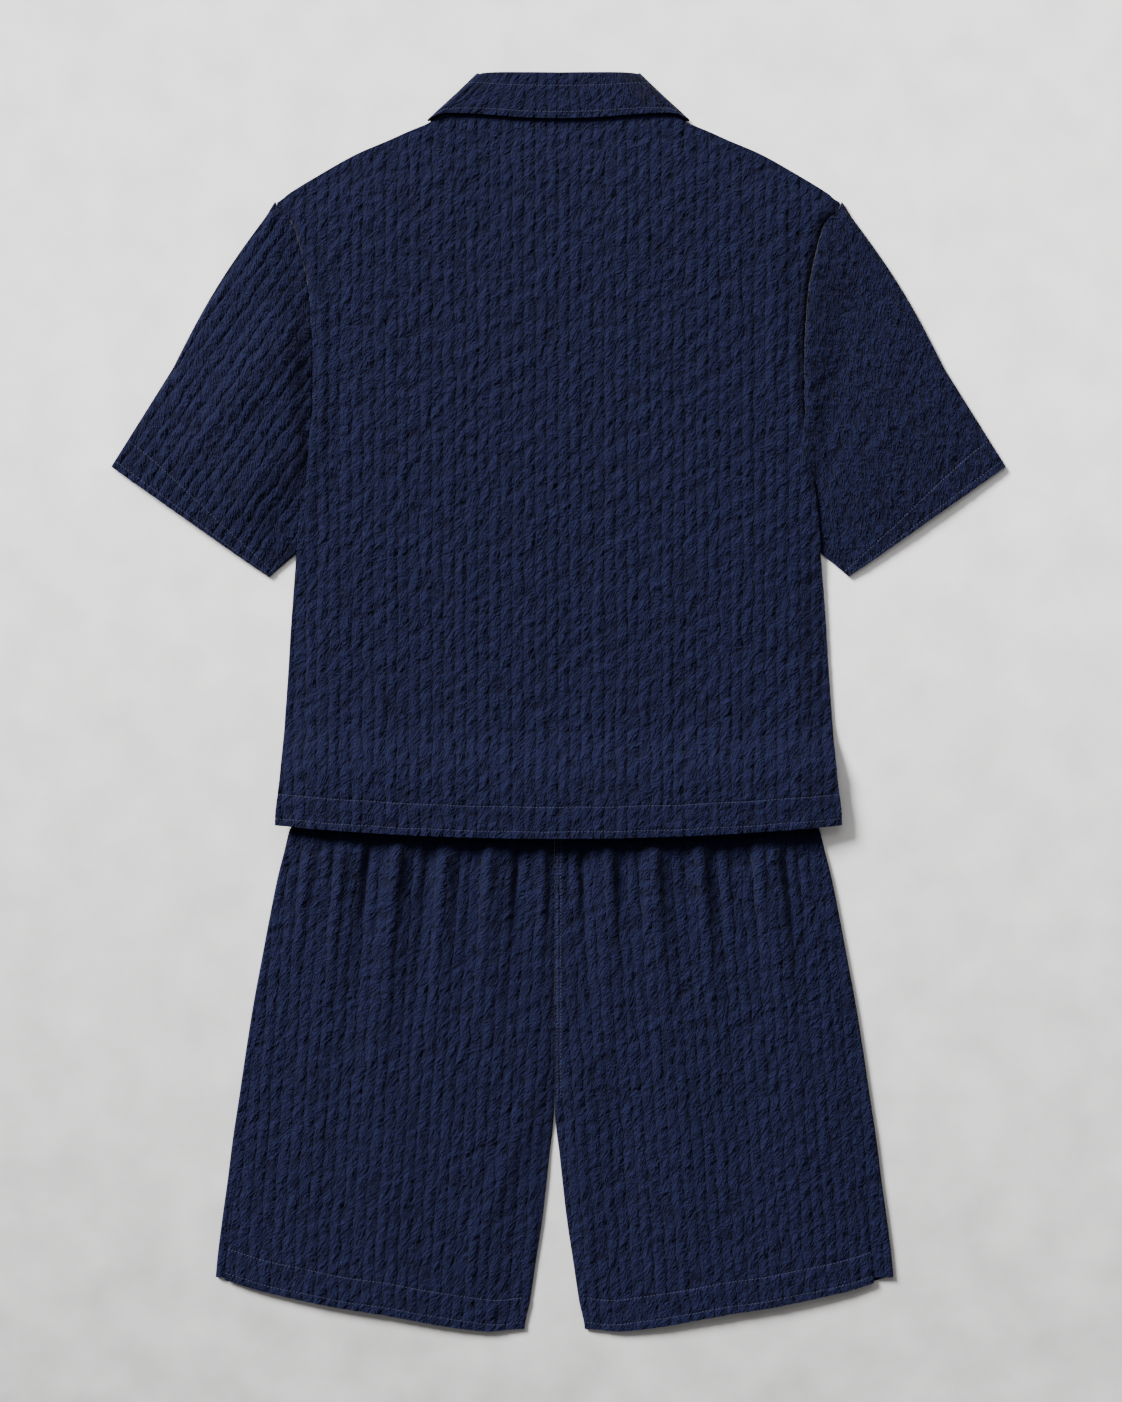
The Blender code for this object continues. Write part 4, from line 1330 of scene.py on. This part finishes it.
@dataclass
class Shorts:
    """The backs and fronts of the shorts, with their seams."""

    centre: float = -4.0
    top: float = -120.6
    hem_side: float = -576.5
    hem_slope_start: float = -330.0
    side_turn: float = 1.2
    seam_gap: float = 0.9
    back_crotch: float = -396.0
    inseam: float = -436.0
    centre_height: float = 4.8
    front_drop: float = 12.0
    gather_gain: float = 3.4
    trough_gain: float = 2.6
    fine_gather: float = 1.8
    gather_spread: float = 0.16
    stripe_lean: float = 0.07
    seam_groove: float = 0.7
    fine_spacing: float = 19.0
    seam_rows: tuple[float, float] = (2.6, 6.4)
    back_cut: Cut = Cut((0.335, 0.512), 0.162)
    front_cut: Cut = Cut((0.345, 0.512), 0.157)

    @staticmethod
    def wrap(side: Side) -> float:
        """How far a front turns over the side fold onto the back."""
        return 6.0 if side is Side.LEFT else 17.0

    def rows(self, step: float) -> Array:
        """The grid's rows, from the hem to the waist."""
        lines = (self.hem_side + EDGE_LINE, self.hem_side + HEM_DEPTH)
        return spaced(self.hem_side, self.top, step, lines)

    def hem_y(self, row: Array, reach: Array) -> Array:
        """Y of a row, stretched towards the sloping hem."""
        to_hem = ease(row, self.hem_slope_start, self.hem_side + HEM_DEPTH)
        return row + (SHORTS_HEM.read("y", reach) - self.hem_side) * to_hem

    def gathers(self, x: Array, y: Array) -> Array:
        """Height of the waist gathers, which spread and fade down the shorts.

        Args:
            x: X of the points from the centre line.
            y: Y of the points.

        Returns:
            The height over the plain cloth.
        """
        total = np.zeros_like(x)
        for place, height, width, length in zip(*GATHERS.columns.values()):
            down = np.clip((self.top - y) / length, 0.0, 1.0)
            centre = place * (1.0 + self.gather_spread * down * length / 250.0)
            total += height * bell(x, centre, width) * (1.0 - down) ** 1.1
        gain = np.where(total > 0.0, self.gather_gain, self.trough_gain)
        total = total * (1.0 + (gain - 1.0) * ease(y, -136.0, -160.0))
        spread = x * (1.0 - 0.0006 * (self.top - y)) / self.fine_spacing
        fine = np.sin(2.0 * np.pi * (spread + 0.4 * np.sin(x / 37.0)))
        return total + self.fine_gather * fine * ease(y, -136.0, -150.0) * ease(y, -300.0, -140.0)

    def grain(self, side: Side, x: Array, y: Array) -> Array:
        """Millimetres across and along the stripes, which lean outwards down the leg."""
        return points(x - side.value * self.stripe_lean * (self.top - y), y)

    def back_edges(self, y: Array, side: Side) -> tuple[Array, Array]:
        """Inner and outer reach of a back panel from the centre line."""
        turned = self.side_turn + WALL + self.wrap(side) + self.seam_gap
        return LEGS.read("inner", y), LEGS.read("outer", y) - turned

    def back(self, side: Side) -> Cloth:
        """One back, from the centre seam to the side seam.

        Args:
            side: Which leg.

        Returns:
            The piece of cloth.
        """
        sign = side.value
        u, row = np.meshgrid(np.linspace(0.0, 1.0, 137), self.rows(FINE_STEP), indexing="ij")
        inner, outer = self.back_edges(row, side)
        y = self.hem_y(row, inner + (outer - inner) * u)
        inner, outer = self.back_edges(y, side)
        reach = inner + (outer - inner) * u
        x = sign * reach
        seam = WALL + 2.0 * self.side_turn
        inner_z = FIRST_LAYER + (self.centre_height - FIRST_LAYER) * ease(
            y, self.inseam, self.back_crotch + 40.0)
        edges = ease(u, 0.0, 0.05) * ease(u, 1.0, 0.95)
        folds = self.gathers(x, y) * edges * ease(y, -112.0, -150.0)
        z = inner_z + (seam - inner_z) * u + LEGS.read("loft", y) * arch(u, 0.7) + folds
        relief, pucker = hem_form(y - SHORTS_HEM.read("y", reach))
        relief = relief + crease_height(SHORTS_CREASES, x, y) * edges
        relief = relief - self.seam_groove * bell(reach - inner, 0.5, 1.5)
        pucker = pucker * (0.4 + 0.6 * ease(reach - inner, 0.0, 5.0)) * (0.5 + 0.5 * edges)
        return Cloth(f"shorts_back_{side.word}", points(self.centre + x, y, z), relief,
                     self.grain(side, x, y), pucker, (4, 4), flip=sign < 0.0)

    def front(self, side: Side) -> Cloth:
        """One front, turned over the side fold to its seam on the back.

        Args:
            side: Which leg.

        Returns:
            The piece of cloth.
        """
        sign, wrap = side.value, self.wrap(side)
        flat = np.linspace(0.0, 1.0, 78, endpoint=False)
        turned = 1.0 + np.linspace(0.0, 1.0, 7, endpoint=False)
        back = 2.0 + np.linspace(0.0, 1.0, 3 if side is Side.LEFT else 7)
        part, row = np.meshgrid(np.concatenate([flat, turned, back]), self.rows(COARSE_STEP),
                                indexing="ij")
        share = np.clip(part, 0.0, 1.0)
        outer = LEGS.read("outer", row)
        inner = LEGS.read("inner", row + self.front_drop)
        y = self.hem_y(row, inner + (outer - inner) * share)
        outer = LEGS.read("outer", y)
        inner = LEGS.read("inner", y + self.front_drop * ease(y, -500.0, -440.0))
        centre = outer - WALL - self.side_turn
        angle = np.pi * np.clip(part - 1.0, 0.0, 1.0)
        reach = inner + (centre - inner) * share + self.side_turn * np.sin(angle)
        reach = reach - wrap * np.clip(part - 2.0, 0.0, 1.0)
        z = WALL + self.side_turn * (1.0 - np.cos(angle))
        _, pucker = hem_form(y - SHORTS_HEM.read("y", reach))
        x = sign * reach
        below = ease(part, 1.0, 0.97) * ease(share, 0.0, 0.02)
        return Cloth(f"shorts_front_{side.word}", points(self.centre + x, y, z), np.zeros_like(x),
                     self.grain(side, x, y), pucker * below, (1, 1), flip=sign > 0.0)

    def build(self, shop: Workshop) -> None:
        """Builds the four panels with the hem and centre-back stitches.

        Args:
            shop: Tools and materials.
        """
        backs = []
        for side in Side:
            front = self.front(side).build(shop, self.front_cut, ["floor"], 60.0 + side.value, **UNDER)
            back = self.back(side).build(shop, self.back_cut, [front], 31.0 + 5.0 * side.value)
            backs.append(back)
            reach = np.linspace(34.0, 330.0, 140)
            hem = SHORTS_HEM.read("y", reach)
            rows = [points(self.centre + side.value * reach, hem + depth + 0.3 * np.sin(reach / 12.0))
                    for depth in (HEM_DEPTH, EDGE_LINE)]
            Sewing(f"leg_hem_{side.word}_stitches", rows).build(shop, back)
        rows = [line((self.centre + offset, self.top - 12.0), (self.centre + offset, self.back_crotch))
                for offset in self.seam_rows]
        Sewing("centre_seam_stitches", rows).build(shop, *backs)


@dataclass
class Waistband:
    """The elastic waistband: a flattened ring that gathers the shorts."""

    centre: float = -4.0
    top: float = -80.0
    bottom: float = -120.0
    half: float = 249.0
    wall: float = 2.2
    edge: float = 0.7
    loft: float = 1.5
    waves: int = 14
    wave_height: float = 0.3
    cut: Cut = Cut((1.0, 0.04), 0.0398, "gathered")

    def cloth(self) -> Cloth:
        """The casing, with soft waves across its upper layer.

        Returns:
            The piece of cloth.
        """
        upper = np.linspace(0.0, 1.0, 113)
        lower = np.linspace(1.0, 0.0, 57)[1:-1]
        share, v = np.meshgrid(np.concatenate([upper, lower]), np.linspace(0.0, 1.0, 13), indexing="ij")
        on_top = np.broadcast_to((np.arange(len(share)) < len(upper))[:, None], share.shape)
        x = self.centre + (self.half - self.wall) * (2.0 * share - 1.0)
        y = self.bottom + (self.top - self.bottom) * v
        z = self.wall + self.edge * (1.0 - arch(share, 0.35)) + self.loft * arch(share) * on_top
        waves = self.wave_height * (1.0 - np.cos(4.0 * np.pi * self.waves * share)) * arch(share, 0.5)
        grain = points(np.where(on_top, x, -x), y)
        return Cloth("waistband", points(x, y, z), waves * on_top, grain,
                     0.3 * arch(share, 0.4) * on_top, (2, 4), ring=True, wall=self.wall, shell=self.wall)

    def build(self, shop: Workshop) -> None:
        """Builds the waistband."""
        self.cloth().build(shop, self.cut, ["floor"], 77.0, height=0.5, slot=Slot.ELASTIC)


@dataclass
class Buttons:
    """The shirt's five buttons, which stay as their solids and get thread bars."""

    count: int = 5
    hole_offset: float = 1.95
    thread_height: float = 0.3
    bar_length: float = 2.6
    bar: float = 0.55

    def build(self, shop: Workshop) -> None:
        """Gives the buttons their material and thread.

        Args:
            shop: Tools and materials.
        """
        spots, edges = [], []
        reach = self.hole_offset * MM * math.sqrt(0.5)
        for number in range(1, self.count + 1):
            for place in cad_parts[f"button_{number}"].material_slots:
                place.material = shop.resin
            low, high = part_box(f"button_{number}")
            x, y = 0.5 * (low[0] + high[0]), 0.5 * (low[1] + high[1])
            for way in (-reach, reach):
                spots += [(x + end, y + way, low[2] + self.thread_height * MM) for end in (-reach, reach)]
                edges.append((len(spots) - 2, len(spots) - 1))
        sizes = (2.0 * self.hole_offset, self.bar_length, self.bar)
        shop.stitch("button_threads", (spots, edges), sizes, self.count)


@dataclass
class Studio:
    """The pale board, the soft lights and the camera that looks straight down."""

    lens: float = 90.0
    sensor: float = 36.0
    image: tuple[int, int] = (1122, 1402)
    centre: tuple[float, float] = (0.0025, 0.0005)
    cloth_height: float = 0.010
    floor_reach: float = 5.0
    key_from: tuple[float, float, float] = (-1.0, 0.95, 0.74)
    key_strength: float = 13.8
    key_angle: float = math.radians(20.0)
    top_from: tuple[float, float, float] = (0.0, 1.8, 2.4)
    top_size: float = 2.0
    top_energy: float = 30.0
    sky: float = 0.3

    def build(self) -> None:
        """Builds the floor, lights, world and camera."""
        scene = bpy.context.scene
        mesh = bpy.data.meshes.new("floor")
        corners = [(x * self.floor_reach, y * self.floor_reach, 0.0)
                   for x, y in ((-1, -1), (1, -1), (1, 1), (-1, 1))]
        mesh.from_pydata(corners, [], [(0, 1, 2, 3)])
        mesh.materials.append(Board().material())
        stand("floor", mesh)
        key = bpy.data.lights.new("window_light", "SUN")
        key.energy, key.angle = self.key_strength, self.key_angle
        self.aim(key, self.key_from)
        lamp = bpy.data.lights.new("top_light", "AREA")
        lamp.size, lamp.energy = self.top_size, self.top_energy
        self.aim(lamp, self.top_from)
        world = bpy.data.worlds.new("soft_room")
        world.use_nodes = True
        tree = world.node_tree
        wire(tree, tree.nodes["Background"], {0: (1.0, 1.0, 1.0, 1.0), 1: self.sky})
        scene.world = world
        camera = bpy.data.cameras.new("overhead_camera")
        camera.lens, camera.sensor_width, camera.clip_end = self.lens, self.sensor, 20.0
        scene.camera = stand("overhead_camera", camera)
        distance = self.image[1] * MM * self.lens / self.sensor
        scene.camera.location = (*self.centre, distance + self.cloth_height)

    def aim(self, lamp: bpy.types.Light, place: tuple[float, float, float]) -> None:
        """Stands a light at a place, facing the middle of the set.

        Args:
            lamp: The light.
            place: Where it stands.
        """
        holder = stand(lamp.name, lamp)
        holder.location = place
        holder.rotation_euler = (-Vector(place)).to_track_quat("-Z", "Y").to_euler()


def main() -> None:
    """Builds the studio and every piece of the set, in order."""
    logging.basicConfig(level=logging.INFO, format="%(message)s")
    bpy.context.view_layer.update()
    Studio().build()
    shop = Workshop(PuckerTool(), StitchTool(), Cotton().material(), Thread().material(),
                    Resin().material())
    Waistband().build(shop)
    Shorts().build(shop)
    body = ShirtBody()
    back = body.build(shop)
    for side in Side:
        Sleeve(side, body).build(shop)
    Collar().build(shop, back)
    Buttons().build(shop)


if __name__ == "__main__":
    main()
